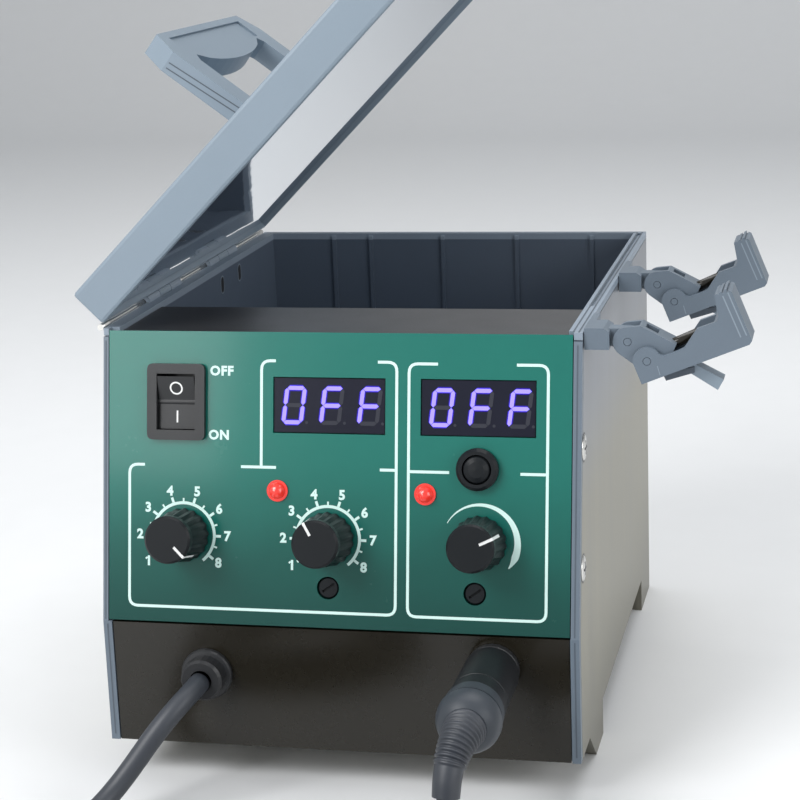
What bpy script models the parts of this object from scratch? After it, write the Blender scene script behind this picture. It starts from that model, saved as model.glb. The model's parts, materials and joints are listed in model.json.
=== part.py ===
"""Hot air rework station: a bench case with a sloping control panel, a tool tray under a hinged lid
with a folding carry handle, and two folding tool rests on its right side. Metres, +Z up.

The case is modelled about its own front edge: X across, Y from front to back, Z up from the bench.
At the end everything moves together, so that the origin is under the middle of the whole set."""

import math

import bpy
from mathutils import Matrix, Vector

# Case
BODY_WIDTH = 0.1624
BODY_DEPTH = 0.217
RIM_HEIGHT = 0.153
BREAK_HEIGHT = 0.056
PANEL_SET_BACK = 0.020
BENCH_CLEARANCE = 0.013
SIDE_WALL = 0.003
SHEET = 0.002
FRAME_DEPTH = 0.0034
LOWER_SHEET = 0.0015
FRAME_STRIPS = (0.0018, 0.0028)
GAP = 0.0003
FOOT_WIDTH = 0.012
FRONT_FOOT_TOP = 0.022
FRONT_FOOT_TOE = 0.038
FRONT_FOOT_HEEL = 0.057
REAR_FOOT_LENGTH = 0.031

# Tray and shelf
RIM_THICKNESS = 0.0024
RIM_WIDTH = 0.0048
TRAY_WALL = 0.0016
TRAY_DEPTH = 0.040
SHELF_DEPTH = 0.044
SHELF_DROP = 0.0015
SHELF_SHEET = 0.002
RIB_WIDTH = 0.0016
RIB_DEPTH = 0.0010
REAR_RIB_SHARES = (-0.650, -0.442, -0.039, 0.369, 0.777)

# Lid and hinges
LID_HEIGHT = 0.014
LID_WALL = 0.0022
LID_OPEN = math.radians(45)
LID_STEP = 0.0040
LINER_RECESS = 0.0022
LINER_SHEET = 0.0015
HINGE_OUTSET = 0.0015
KNUCKLE_RADIUS = 0.0027
HINGE_PIN_RADIUS = 0.0010
HINGE_LENGTH = 0.036
HINGE_SPREAD = 0.072
RUNNING = 0.00015
KNUCKLE_GAP = 0.0004

# Carry handle
HANDLE_WIDTH = 0.108
HANDLE_ARM = 0.0133
HANDLE_THICKNESS = 0.008
HANDLE_REACH = 0.0409
HANDLE_LEAN = math.radians(8.3)
HANDLE_FROM_HINGE = 0.0751
GRIP_DEPTH = 0.0135
GRIP_BELLY = 0.0065
HANDLE_CORNER = 0.006
EAR_THICKNESS = 0.006
EAR_RADIUS = 0.0045
HANDLE_PIN_RADIUS = 0.0015

# Tool rests
REST_FRONT = 0.0205
REST_SPACING = 0.097
CRADLE_WIDTH = 0.015
REST_SIDE_GAP = 0.0003
CRADLE_PLATE = 0.0020
LINK_PLATE = 0.0018
REST_BLOCK_LENGTH = 0.0080
REST_BLOCK_BELOW_RIM = 0.0057
REST_BLOCK_ABOVE_RIM = 0.0013
REST_FLANGE = 0.0022
LINK_FROM_RIM_CORNER = (0.0140, -0.0034)
LINK_RADIUS = 0.0048
TONGUE_RADIUS = 0.0039
CRADLE_FROM_LINK = (0.0064, -0.0058)
CRADLE_LOBE = 0.0046
REST_PIN_RADIUS = 0.0012

# Controls, as shares of the half width across and of the sloping panel's length up
SWITCH_SHARE = (-0.6773, 0.7553)
DISPLAY_SHARES = {"heat": (-0.0320, 0.7502), "board": (0.5837, 0.7502)}
LED_SHARES = {"heat": (-0.2463, 0.4624), "board": (0.3707, 0.4635)}
KNOB_SHARES = {"air": (-0.6490, 0.3039), "heat": (-0.0333, 0.3049), "board": (0.5948, 0.3069)}
TRIMMER_SHARES = {"heat": (-0.0320, 0.1403), "board": (0.5764, 0.1383)}
BUTTON_SHARE = (0.5862, 0.5503)
SWITCH_BEZEL = (0.0201, 0.0255)
SWITCH_OPENING = (0.0134, 0.0188)
SWITCH_DEPTH = 0.022
ROCKER_TILT = math.radians(8)
DISPLAY_SIZE = (0.0376, 0.0180)
KNOB_RADIUS = 0.0092
KNOB_TOP_RADIUS = 0.0079
KNOB_CAP = 0.0030
KNOB_HEIGHT = 0.0165
KNOB_STANDOFF = 0.0010
FLUTES = 18
FLUTE_DEPTH = 0.0003
SHAFT_RADIUS = 0.003
LED_RADIUS = 0.0028
BUTTON_RING_RADIUS = 0.0070
BUTTON_RADIUS = 0.0046
TRIMMER_RADIUS = 0.0035
BOARD_SETBACK = 0.0125
BOARD_THICKNESS = 0.0016

# Lower panel fittings
GLAND_AT = (-0.0452, 0.0388)
GLAND_FLANGE_RADIUS = 0.0088
GLAND_BODY_RADIUS = 0.0072
GLAND_LENGTH = 0.008
SOCKET_AT = (0.0528, 0.0448)
SOCKET_RADIUS = 0.0088
PLUG_RADIUS = 0.0095
PLUG_START = 0.0035
PLUG_LENGTH = 0.043

# Cords and the tools on them
AIR_CORD_RADIUS = 0.0035
IRON_CORD_RADIUS = 0.0029
AIR_COIL = {"at": (-0.042, -0.122), "inner": 0.028, "outer": 0.0425, "height": 0.0142}
IRON_COIL = {"at": (0.064, -0.135), "inner": 0.0215, "outer": 0.0393, "height": 0.0118}
AIR_TOOL_AT = (-0.040, -0.2220, 0.0185)
IRON_TOOL_AT = (0.083, -0.1880, 0.0105)
AIR_CORD_ROUTE = (
    (-0.0452, -0.0085, 0.0388),
    (-0.0460, -0.0140, 0.0380),
    (-0.0490, -0.0200, 0.0350),
    (-0.0530, -0.0245, 0.0305),
    (-0.0575, -0.0285, 0.0245),
    (-0.0620, -0.0325, 0.0180),
    (-0.0665, -0.0370, 0.0120),
    (-0.0710, -0.0430, 0.0072),
    (-0.0750, -0.0510, 0.0044),
    (-0.0785, -0.0610, 0.0036),
    (-0.0818, -0.0730, 0.0036),
    (-0.0848, -0.0870, 0.0036),
    (-0.0870, -0.1020, 0.0036),
    (-0.0882, -0.1180, 0.0036),
)
AIR_TAIL_ROUTE = (
    (-0.0875, -0.1300, 0.0098),
    (-0.0892, -0.1480, 0.0052),
    (-0.0895, -0.1680, 0.0040),
    (-0.0875, -0.1860, 0.0060),
    (-0.0820, -0.2020, 0.0098),
    (-0.0715, -0.2140, 0.0142),
    (-0.0570, -0.2205, 0.0174),
    (-0.0405, -0.2220, 0.0185),
)
IRON_CORD_ROUTE = (
    (0.0494, -0.0664, 0.0298),
    (0.0494, -0.0695, 0.0225),
    (0.0497, -0.0735, 0.0155),
    (0.0508, -0.0785, 0.0095),
    (0.0532, -0.0840, 0.0052),
    (0.0575, -0.0888, 0.0034),
    (0.0635, -0.0918, 0.0031),
    (0.0705, -0.0930, 0.0031),
)
IRON_TAIL_ROUTE = (
    (0.1064, -0.1370, 0.0082),
    (0.1075, -0.1480, 0.0042),
    (0.1072, -0.1590, 0.0034),
    (0.1052, -0.1690, 0.0042),
    (0.1010, -0.1780, 0.0062),
    (0.0940, -0.1850, 0.0088),
    (0.0835, -0.1880, 0.0105),
)
BOOT_ROUTE = (
    (0.0528, -0.0466, 0.0448),
    (0.0528, -0.0485, 0.0448),
    (0.0522, -0.0515, 0.0443),
    (0.0513, -0.0550, 0.0430),
    (0.0504, -0.0595, 0.0400),
    (0.0498, -0.0632, 0.0358),
    (0.0494, -0.0658, 0.0310),
)
BOOT_RADII = (0.0060, 0.0059, 0.0057, 0.0053, 0.0049, 0.0042, 0.0040)

# Values worked out from those above
HALF_WIDTH = BODY_WIDTH / 2
INSIDE = HALF_WIDTH - SIDE_WALL
WINDOW = (-HALF_WIDTH + FRAME_STRIPS[0], HALF_WIDTH - FRAME_STRIPS[1])
WINDOW_MIDDLE = sum(WINDOW) / 2
PLATE_WIDTH = WINDOW[1] - WINDOW[0] - 2 * GAP
PANEL_RISE = RIM_HEIGHT - BREAK_HEIGHT
PANEL_LENGTH = math.hypot(PANEL_RISE, PANEL_SET_BACK)
PANEL_LEAN = math.atan2(PANEL_SET_BACK, PANEL_RISE)
RIM_UNDERSIDE = RIM_HEIGHT - RIM_THICKNESS
SWITCH_AT = (SWITCH_SHARE[0] * HALF_WIDTH, SWITCH_SHARE[1] * PANEL_LENGTH)
SET_BUTTON_AT = (BUTTON_SHARE[0] * HALF_WIDTH, BUTTON_SHARE[1] * PANEL_LENGTH)
DISPLAYS_AT, LEDS_AT, KNOBS_AT, TRIMMERS_AT = (
    {name: (across * HALF_WIDTH, up * PANEL_LENGTH) for name, (across, up) in shares.items()}
    for shares in (DISPLAY_SHARES, LED_SHARES, KNOB_SHARES, TRIMMER_SHARES)
)
TRAY_INSIDE = HALF_WIDTH - RIM_WIDTH
TRAY_FLOOR = RIM_HEIGHT - TRAY_DEPTH
SHELF_BACK = PANEL_SET_BACK + SHELF_DEPTH
MID_DEPTH = (PANEL_SET_BACK + BODY_DEPTH) / 2
BACK_INSIDE = BODY_DEPTH - SHEET - GAP
HINGE_AXIS = Vector((-HALF_WIDTH - HINGE_OUTSET, 0, RIM_HEIGHT + GAP / 2))
LINK_PIVOT = (HALF_WIDTH + LINK_FROM_RIM_CORNER[0], RIM_HEIGHT + LINK_FROM_RIM_CORNER[1])
LID_LOW = GAP / 2
LID_HIGH = LID_LOW + LID_HEIGHT
HANDLE_PIVOT_HEIGHT = LID_HIGH + HANDLE_THICKNESS / 2 + 2 * GAP
LINK_WIDTH = CRADLE_WIDTH - 2 * CRADLE_PLATE - 2 * REST_SIDE_GAP
TONGUE_WIDTH = LINK_WIDTH - 2 * LINK_PLATE - 2 * REST_SIDE_GAP
REACH = 0.5


def new_collection(name):
    collection = bpy.data.collections.new(name)
    bpy.context.scene.collection.children.link(collection)
    return collection


def clear_scene():
    for obj in list(bpy.data.objects):
        bpy.data.objects.remove(obj)


def material(name, colour, roughness, metallic=0.0):
    made = bpy.data.materials.new(name)
    made.use_nodes = True
    shader = made.node_tree.nodes["Principled BSDF"]
    shader.inputs["Base Color"].default_value = (*colour, 1)
    shader.inputs["Roughness"].default_value = roughness
    shader.inputs["Metallic"].default_value = metallic
    made.diffuse_color = (*colour, 1)
    return made


def frame(name, parent=None, at=(0, 0, 0), turn=(0, 0, 0)):
    """An empty that pieces are placed on. Its origin is a hinge axis or a panel's own corner."""
    empty = bpy.data.objects.new(name, None)
    PARTS.objects.link(empty)
    empty.location = at
    empty.rotation_euler = turn
    empty.parent = parent
    return empty


def keep(obj, parent, looks):
    """Makes obj a piece of the station, with its own material, on the frame that carries it."""
    PARTS.objects.link(obj)
    obj.parent = parent
    obj.data.materials.clear()
    obj.data.materials.append(material(obj.name, *looks))
    return obj


def helper(obj, parent):
    """Puts a shape that only cuts or joins another with the cutters, out of renders."""
    CUTTERS.objects.link(obj)
    obj.parent = parent
    obj.hide_render = True
    obj.display_type = "WIRE"
    return obj


def boolean(obj, tools, operation):
    for tool in tools:
        helper(tool, obj.parent)
        step = obj.modifiers.new(f"{operation.title()} {tool.name}", "BOOLEAN")
        step.operation = operation
        step.object = tool
    return obj


def cut(obj, *tools):
    return boolean(obj, tools, "DIFFERENCE")


def join(obj, *tools):
    return boolean(obj, tools, "UNION")


def tidy_mesh(mesh):
    """Welds loose caps and turns every face outwards."""
    import bmesh

    work = bmesh.new()
    work.from_mesh(mesh)
    bmesh.ops.remove_doubles(work, verts=work.verts, dist=1e-6)
    bmesh.ops.recalc_face_normals(work, faces=work.faces)
    work.to_mesh(mesh)
    work.free()


def block(name, low, high, edge=0.0):
    """A box from its low corner to its high corner, with its edges rounded to edge."""
    import bmesh

    size = [b - a for a, b in zip(low, high)]
    middle = [(a + b) / 2 for a, b in zip(low, high)]
    work = bmesh.new()
    bmesh.ops.create_cube(work, size=1, matrix=Matrix.Translation(middle) @ Matrix.Diagonal((*size, 1)))
    if edge:
        bmesh.ops.bevel(
            work, geom=work.edges[:], offset=edge, offset_type="OFFSET", segments=2, profile=0.5,
            affect="EDGES",
        )
    mesh = bpy.data.meshes.new(name)
    work.to_mesh(mesh)
    work.free()
    return bpy.data.objects.new(name, mesh)


def prism(name, outline, low, high, along):
    """A flat outline given thickness: along x it holds (y, z) points, along y (x, z), along z (x, y)."""
    order = {"x": (2, 0, 1), "y": (0, 2, 1), "z": (0, 1, 2)}[along]
    spots = [(*point, level) for level in (low, high) for point in outline]
    count = len(outline)
    faces = [list(range(count)), list(range(count, 2 * count))]
    faces += [(k, (k + 1) % count, (k + 1) % count + count, k + count) for k in range(count)]
    mesh = bpy.data.meshes.new(name)
    mesh.from_pydata([[spot[k] for k in order] for spot in spots], [], faces)
    tidy_mesh(mesh)
    return bpy.data.objects.new(name, mesh)


def arc(centre, radius, start, end, steps):
    """Points round a circle, from start to end in degrees."""
    turns = [math.radians(start + (end - start) * k / steps) for k in range(steps + 1)]
    return [(centre[0] + radius * math.cos(t), centre[1] + radius * math.sin(t)) for t in turns]


def rounded(outline, radius, steps=3):
    """The same outline with each corner replaced by a short curve that starts radius before it."""
    points = [Vector(p) for p in outline]
    soft = []
    for k, corner in enumerate(points):
        before, after = points[k - 1], points[(k + 1) % len(points)]
        reach = min(radius, (before - corner).length * 0.45, (after - corner).length * 0.45)
        start = corner + (before - corner).normalized() * reach
        end = corner + (after - corner).normalized() * reach
        for n in range(steps + 1):
            t = n / steps
            soft.append(tuple(start * (1 - t) ** 2 + corner * 2 * t * (1 - t) + end * t * t))
    return soft


def rectangle(centre, size):
    (x, y), (w, h) = centre, (size[0] / 2, size[1] / 2)
    return [(x - w, y - h), (x + w, y - h), (x + w, y + h), (x - w, y + h)]


def turned(name, profile, at=(0, 0, 0), turn=(0, 0, 0), steps=24):
    """A profile of (radius, height) points, from the top down its outer side, turned about local z."""
    mesh = bpy.data.meshes.new(name)
    points = [(r, 0, h) for r, h in profile]
    mesh.from_pydata(points, [(k, k + 1) for k in range(len(points) - 1)], [])
    obj = bpy.data.objects.new(name, mesh)
    screw = obj.modifiers.new("Turn", "SCREW")
    screw.steps = screw.render_steps = steps
    screw.use_merge_vertices = True
    screw.merge_threshold = 1e-6
    screw.use_smooth_shade = True
    obj.location = at
    obj.rotation_euler = turn
    return obj


def rod(name, radius, low, high, at=(0, 0, 0), turn=(0, 0, 0), steps=24):
    return turned(name, [(0, high), (radius, high), (radius, low), (0, low)], at, turn, steps)


ALONG_X = (0, math.radians(90), 0)
ALONG_Y = (math.radians(-90), 0, 0)


def smooth_route(route, spacing):
    """Points about spacing apart on a smooth curve through every point of the route."""
    points = [Vector(p) for p in route]
    points = [points[0] * 2 - points[1], *points, points[-1] * 2 - points[-2]]
    line = []
    for k in range(1, len(points) - 2):
        a, b, c, d = points[k - 1 : k + 3]
        count = max(1, round((c - b).length / spacing))
        for n in range(count):
            t = n / count
            line.append(
                (b * 2 + (c - a) * t + (a * 2 - b * 5 + c * 4 - d) * t * t
                 + (b * 3 - a - c * 3 + d) * t ** 3) / 2
            )
    return [*line, points[-2]]


def tube(name, line, radius, radii=None, resolution=2):
    """A round tube along the points of line, capped at both ends, as a welded mesh."""
    curve = bpy.data.curves.new(name, "CURVE")
    curve.dimensions = "3D"
    curve.bevel_depth = radius
    curve.bevel_resolution = resolution
    curve.use_fill_caps = True
    spline = curve.splines.new("POLY")
    spline.points.add(len(line) - 1)
    for k, (point, place) in enumerate(zip(spline.points, line)):
        point.co = (*place, 1)
        point.radius = radii[k] / radius if radii else 1
    shape = bpy.data.objects.new(name, curve)
    bpy.context.scene.collection.objects.link(shape)
    bpy.context.view_layer.update()
    graph = bpy.context.evaluated_depsgraph_get()
    mesh = bpy.data.meshes.new_from_object(shape.evaluated_get(graph))
    bpy.data.objects.remove(shape)
    tidy_mesh(mesh)
    return bpy.data.objects.new(name, mesh)


# Looks: base colour, roughness, metallic
SLATE = ((0.24, 0.31, 0.37), 0.5)
SLATE_DARK = ((0.12, 0.15, 0.19), 0.55)
GREEN = ((0.018, 0.13, 0.10), 0.25)
GLOSS_BLACK = ((0.02, 0.02, 0.015), 0.08)
SATIN_BLACK = ((0.03, 0.03, 0.03), 0.45)
RUBBER = ((0.02, 0.02, 0.022), 0.6)
STEEL = ((0.62, 0.61, 0.58), 0.3, 1.0)
SIDE_METAL = ((0.55, 0.53, 0.49), 0.35, 0.8)
DISPLAY_BLACK = ((0.01, 0.01, 0.015), 0.1)
RED_LENS = ((0.6, 0.05, 0.01), 0.2)
BOARD_GREEN = ((0.03, 0.16, 0.06), 0.4)
CORE = ((0.2, 0.2, 0.21), 0.5, 0.6)
ALUMINIUM = ((0.6, 0.6, 0.62), 0.35, 1.0)
BLUE_GRIP = ((0.03, 0.08, 0.25), 0.5)


def side_outline(front, top):
    """One side of the case seen from the right, as (y, z), with its front edge moved back by front."""
    rear_foot = BODY_DEPTH - REAR_FOOT_LENGTH
    lean = (top - BREAK_HEIGHT) / PANEL_RISE * PANEL_SET_BACK
    return [
        (front, BENCH_CLEARANCE),
        (FRONT_FOOT_TOP, BENCH_CLEARANCE),
        (FRONT_FOOT_TOE, 0),
        (FRONT_FOOT_HEEL, 0),
        (FRONT_FOOT_HEEL, BENCH_CLEARANCE),
        (rear_foot, BENCH_CLEARANCE),
        (rear_foot, 0),
        (BODY_DEPTH, 0),
        (BODY_DEPTH, top),
        (front + lean, top),
        (front, BREAK_HEIGHT),
    ]


def case_shell():
    top = RIM_UNDERSIDE - GAP
    inset = 0.0002
    front_foot = [
        (FRONT_FOOT_TOP + 2 * inset, BENCH_CLEARANCE - inset),
        (FRONT_FOOT_TOE, inset),
        (FRONT_FOOT_HEEL - inset, inset),
        (FRONT_FOOT_HEEL - inset, BENCH_CLEARANCE - inset),
    ]
    rear_foot = rectangle(
        (BODY_DEPTH - REAR_FOOT_LENGTH / 2, BENCH_CLEARANCE / 2),
        (REAR_FOOT_LENGTH - 2 * inset, BENCH_CLEARANCE - 2 * inset),
    )
    for name, sign in (("side_panel_left", -1), ("side_panel_right", 1)):
        ends = sorted((sign * INSIDE, sign * HALF_WIDTH))
        panel = prism(name, side_outline(FRAME_DEPTH + GAP, top), *ends, "x")
        keep(panel, BODY, SIDE_METAL)
        ends = sorted((sign * (INSIDE + SIDE_WALL / 2), sign * (INSIDE - FOOT_WIDTH)))
        join(
            panel,
            prism(f"{name} front foot", front_foot, *ends, "x"),
            prism(f"{name} rear foot", rear_foot, *ends, "x"),
        )
    lean = (top - BREAK_HEIGHT) / PANEL_RISE * PANEL_SET_BACK
    band = [(0, BENCH_CLEARANCE), (0, BREAK_HEIGHT), (lean, top)]
    band += [(y + FRAME_DEPTH, z) for y, z in reversed(band)]
    front_frame = prism("front_frame", band, -HALF_WIDTH, HALF_WIDTH, "x")
    keep(front_frame, BODY, SLATE)
    window = block("frame window", (WINDOW[0], -REACH, BREAK_HEIGHT), (WINDOW[1], REACH, REACH))
    low = block(
        "frame low window", (-INSIDE, -REACH, BENCH_CLEARANCE + SHEET),
        (INSIDE, REACH, BREAK_HEIGHT + GAP),
    )
    rebate = block(
        "frame rebate", (-INSIDE, -REACH, -REACH),
        (INSIDE, LOWER_SHEET + 0.0005 + GAP, BENCH_CLEARANCE + SHEET + GAP),
    )
    cut(front_frame, window, low, rebate)
    base_low = BENCH_CLEARANCE + GAP
    base = block(
        "base_plate",
        (-INSIDE + GAP, FRAME_DEPTH + GAP, base_low),
        (INSIDE - GAP, BACK_INSIDE, base_low + SHEET),
    )
    keep(base, BODY, SIDE_METAL)
    slots = [
        block(
            f"base slot {k}", (-0.03, 0.08 + 0.012 * k, 0), (0.03, 0.084 + 0.012 * k, 0.03)
        )
        for k in range(6)
    ]
    cut(base, *slots)


def control_panel():
    """The green plate, with an opening for each control."""
    edge = 2 * GAP
    size = (PLATE_WIDTH, PANEL_LENGTH - edge - 0.0006)
    outline = rectangle((WINDOW_MIDDLE, edge + size[1] / 2), size)
    plate = prism("control_panel", outline, -SHEET, 0, "z")
    keep(plate, PANEL, GREEN)
    switch_hole = [SWITCH_BEZEL[k] - 0.0012 for k in (0, 1)]
    holes = [prism("switch hole", rectangle(SWITCH_AT, switch_hole), -REACH, REACH, "z")]
    display_hole = [s + 2 * GAP for s in DISPLAY_SIZE]
    for name, at in DISPLAYS_AT.items():
        holes.append(prism(f"display hole {name}", rectangle(at, display_hole), -REACH, REACH, "z"))
    round_holes = [(at, LED_RADIUS + GAP) for at in LEDS_AT.values()]
    round_holes += [(at, SHAFT_RADIUS + 0.0013 + GAP) for at in KNOBS_AT.values()]
    round_holes += [(at, TRIMMER_RADIUS + GAP) for at in TRIMMERS_AT.values()]
    round_holes.append((SET_BUTTON_AT, BUTTON_RADIUS + 0.0010 + GAP))
    for k, (at, radius) in enumerate(round_holes):
        holes.append(rod(f"panel hole {k}", radius, -0.01, 0.01, at=(*at, 0)))
    cut(plate, *holes)


def lower_panel():
    low = BENCH_CLEARANCE
    outline = rectangle(
        (0, (low + BREAK_HEIGHT - GAP) / 2), (2 * (INSIDE - GAP), BREAK_HEIGHT - GAP - low)
    )
    plate = prism("lower_panel", outline, -LOWER_SHEET - 0.0005, -0.0005, "z")
    keep(plate, FRONT, GLOSS_BLACK)
    cut(
        plate,
        rod("gland hole", GLAND_BODY_RADIUS - 0.0006, -0.01, 0.01, at=(*GLAND_AT, 0)),
        rod("socket hole", SOCKET_RADIUS - 0.0018, -0.01, 0.01, at=(*SOCKET_AT, 0)),
    )


def rear_panel():
    low, high = BENCH_CLEARANCE + GAP, RIM_UNDERSIDE - GAP
    outline = rectangle((0, (low + high) / 2), (2 * (INSIDE - GAP), high - low))
    plate = prism("rear_panel", outline, -SHEET, 0, "z")
    keep(plate, BACK, SIDE_METAL)
    inlet = prism("inlet hole", rectangle(INLET_AT, (0.0276, 0.0202)), -0.01, 0.01, "z")
    fuse = rod("fuse hole", 0.0061, -0.01, 0.01, at=(*FUSE_AT, 0))
    vents = []
    for row in range(2):
        for k in range(7):
            at = (-0.052 + 0.008 * k, 0.040 + 0.030 * row)
            vents.append(
                prism(f"vent {row} {k}", rectangle(at, (0.003, 0.022)), -0.01, 0.01, "z")
            )
    cut(plate, inlet, fuse, *vents)


INLET_AT = (0.045, 0.042)
FUSE_AT = (0.045, 0.072)


def rear_fittings():
    inlet = prism("mains_inlet", rectangle(INLET_AT, (0.031, 0.0235)), GAP, 0.003, "z")
    keep(inlet, BACK, SATIN_BLACK)
    join(inlet, prism("inlet body", rectangle(INLET_AT, (0.027, 0.0196)), -0.018, 0.001, "z"))
    cut(inlet, prism("inlet mouth", rectangle(INLET_AT, (0.0240, 0.0165)), -0.015, 0.01, "z"))
    pins = [
        prism(
            f"inlet pin {k}", rectangle((INLET_AT[0] + x, INLET_AT[1] + y), (0.002, 0.004)),
            -0.0160, -0.001, "z",
        )
        for k, (x, y) in enumerate(((-0.007, -0.002), (0, 0.002), (0.007, -0.002)))
    ]
    join(inlet, *pins)
    fuse = turned(
        "fuse_holder",
        [(0, 0.009), (0.0055, 0.009), (0.0065, 0.0075), (0.0075, 0.003), (0.0075, GAP),
         (0.0058, GAP), (0.0058, -0.024), (0, -0.024)],
        at=(*FUSE_AT, 0),
    )
    keep(fuse, BACK, SATIN_BLACK)
    cut(fuse, block("fuse slot", (FUSE_AT[0] - 0.004, FUSE_AT[1] - 0.0006, 0.0078),
                    (FUSE_AT[0] + 0.004, FUSE_AT[1] + 0.0006, 0.01)))


def tray():
    """The moulded tool tray: a rim over the case sides, a sunk tray and a low front shelf."""
    rim = prism(
        "tool_tray",
        rectangle((0, (PANEL_SET_BACK + BODY_DEPTH) / 2), (BODY_WIDTH, BODY_DEPTH - PANEL_SET_BACK)),
        RIM_UNDERSIDE, RIM_HEIGHT, "z",
    )
    keep(rim, BODY, SLATE_DARK)
    outer = INSIDE - GAP
    tub = block(
        "tub", (-outer, SHELF_BACK - TRAY_WALL, TRAY_FLOOR - TRAY_WALL),
        (outer, BACK_INSIDE, RIM_HEIGHT - 0.0005),
    )
    shelf_low = RIM_HEIGHT - SHELF_DROP - SHELF_SHEET - GAP - TRAY_WALL
    shelf_front = PANEL_SET_BACK + SHEET + 2 * GAP
    shelf = block("shelf", (-outer, shelf_front, shelf_low), (outer, SHELF_BACK, RIM_HEIGHT - 0.0005))
    join(rim, tub, shelf)
    hollow = block(
        "hollow", (-TRAY_INSIDE, SHELF_BACK, TRAY_FLOOR),
        (TRAY_INSIDE, BACK_INSIDE - TRAY_WALL, REACH),
    )
    ledge = block(
        "ledge space", (-TRAY_INSIDE, -REACH, shelf_low + TRAY_WALL), (TRAY_INSIDE, SHELF_BACK, REACH)
    )
    notch = block("panel notch", (WINDOW[0], -REACH, 0), (WINDOW[1], shelf_front, REACH))
    cut(rim, hollow, ledge, notch)
    back = BACK_INSIDE - TRAY_WALL
    ribs = [
        block(
            f"rib {k}", (x - RIB_WIDTH / 2, back - RIB_DEPTH, TRAY_FLOOR - 0.0005),
            (x + RIB_WIDTH / 2, back + 0.0005, RIM_HEIGHT - 0.001),
        )
        for k, x in enumerate(share * TRAY_INSIDE for share in REAR_RIB_SHARES)
    ]
    join(rim, *ribs)
    groove = 0.0012
    middle = HALF_WIDTH - RIM_WIDTH / 2
    grooves = [
        block(
            f"rim groove {k}", (x - groove, SHELF_BACK, RIM_HEIGHT - 0.0008),
            (x + groove, BODY_DEPTH - 0.004, REACH),
        )
        for k, x in enumerate((middle,))
    ]
    cut(rim, *grooves)
    for k, centre in enumerate(hinge_centres()):
        ends = knuckle_ends(centre)
        for n, (low, high) in enumerate((ends[0], ends[2])):
            join(rim, knuckle(f"tray knuckle {k} {n}", low, high, HINGE_AXIS))
        low, high = ends[1]
        relief = rod(
            f"lid knuckle relief {k}", KNUCKLE_RADIUS + KNUCKLE_GAP, low - KNUCKLE_GAP,
            high + KNUCKLE_GAP, at=HINGE_AXIS, turn=ALONG_Y,
        )
        bore = rod(
            f"tray hinge bore {k}", HINGE_PIN_RADIUS + RUNNING, centre - HINGE_LENGTH,
            centre + HINGE_LENGTH, at=HINGE_AXIS, turn=ALONG_Y, steps=16,
        )
        cut(rim, relief, bore)
    plate_low = RIM_HEIGHT - SHELF_DROP - SHELF_SHEET
    cover = block(
        "shelf_plate", (-TRAY_INSIDE + GAP, shelf_front + GAP, plate_low),
        (TRAY_INSIDE - GAP, SHELF_BACK + 0.001, plate_low + SHELF_SHEET), 0.0004,
    )
    keep(cover, BODY, SATIN_BLACK)


def hinge_centres():
    return (MID_DEPTH - HINGE_SPREAD / 2, MID_DEPTH + HINGE_SPREAD / 2)


def knuckle_ends(centre):
    """Where the three knuckles of one hinge start and end along the hinge axis."""
    third = (HINGE_LENGTH - 2 * KNUCKLE_GAP) / 3
    start = centre - HINGE_LENGTH / 2
    return [(start + k * (third + KNUCKLE_GAP), start + k * (third + KNUCKLE_GAP) + third)
            for k in range(3)]


def knuckle(name, low, high, at):
    return rod(name, KNUCKLE_RADIUS, low, high, at=at, turn=ALONG_Y)


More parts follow.
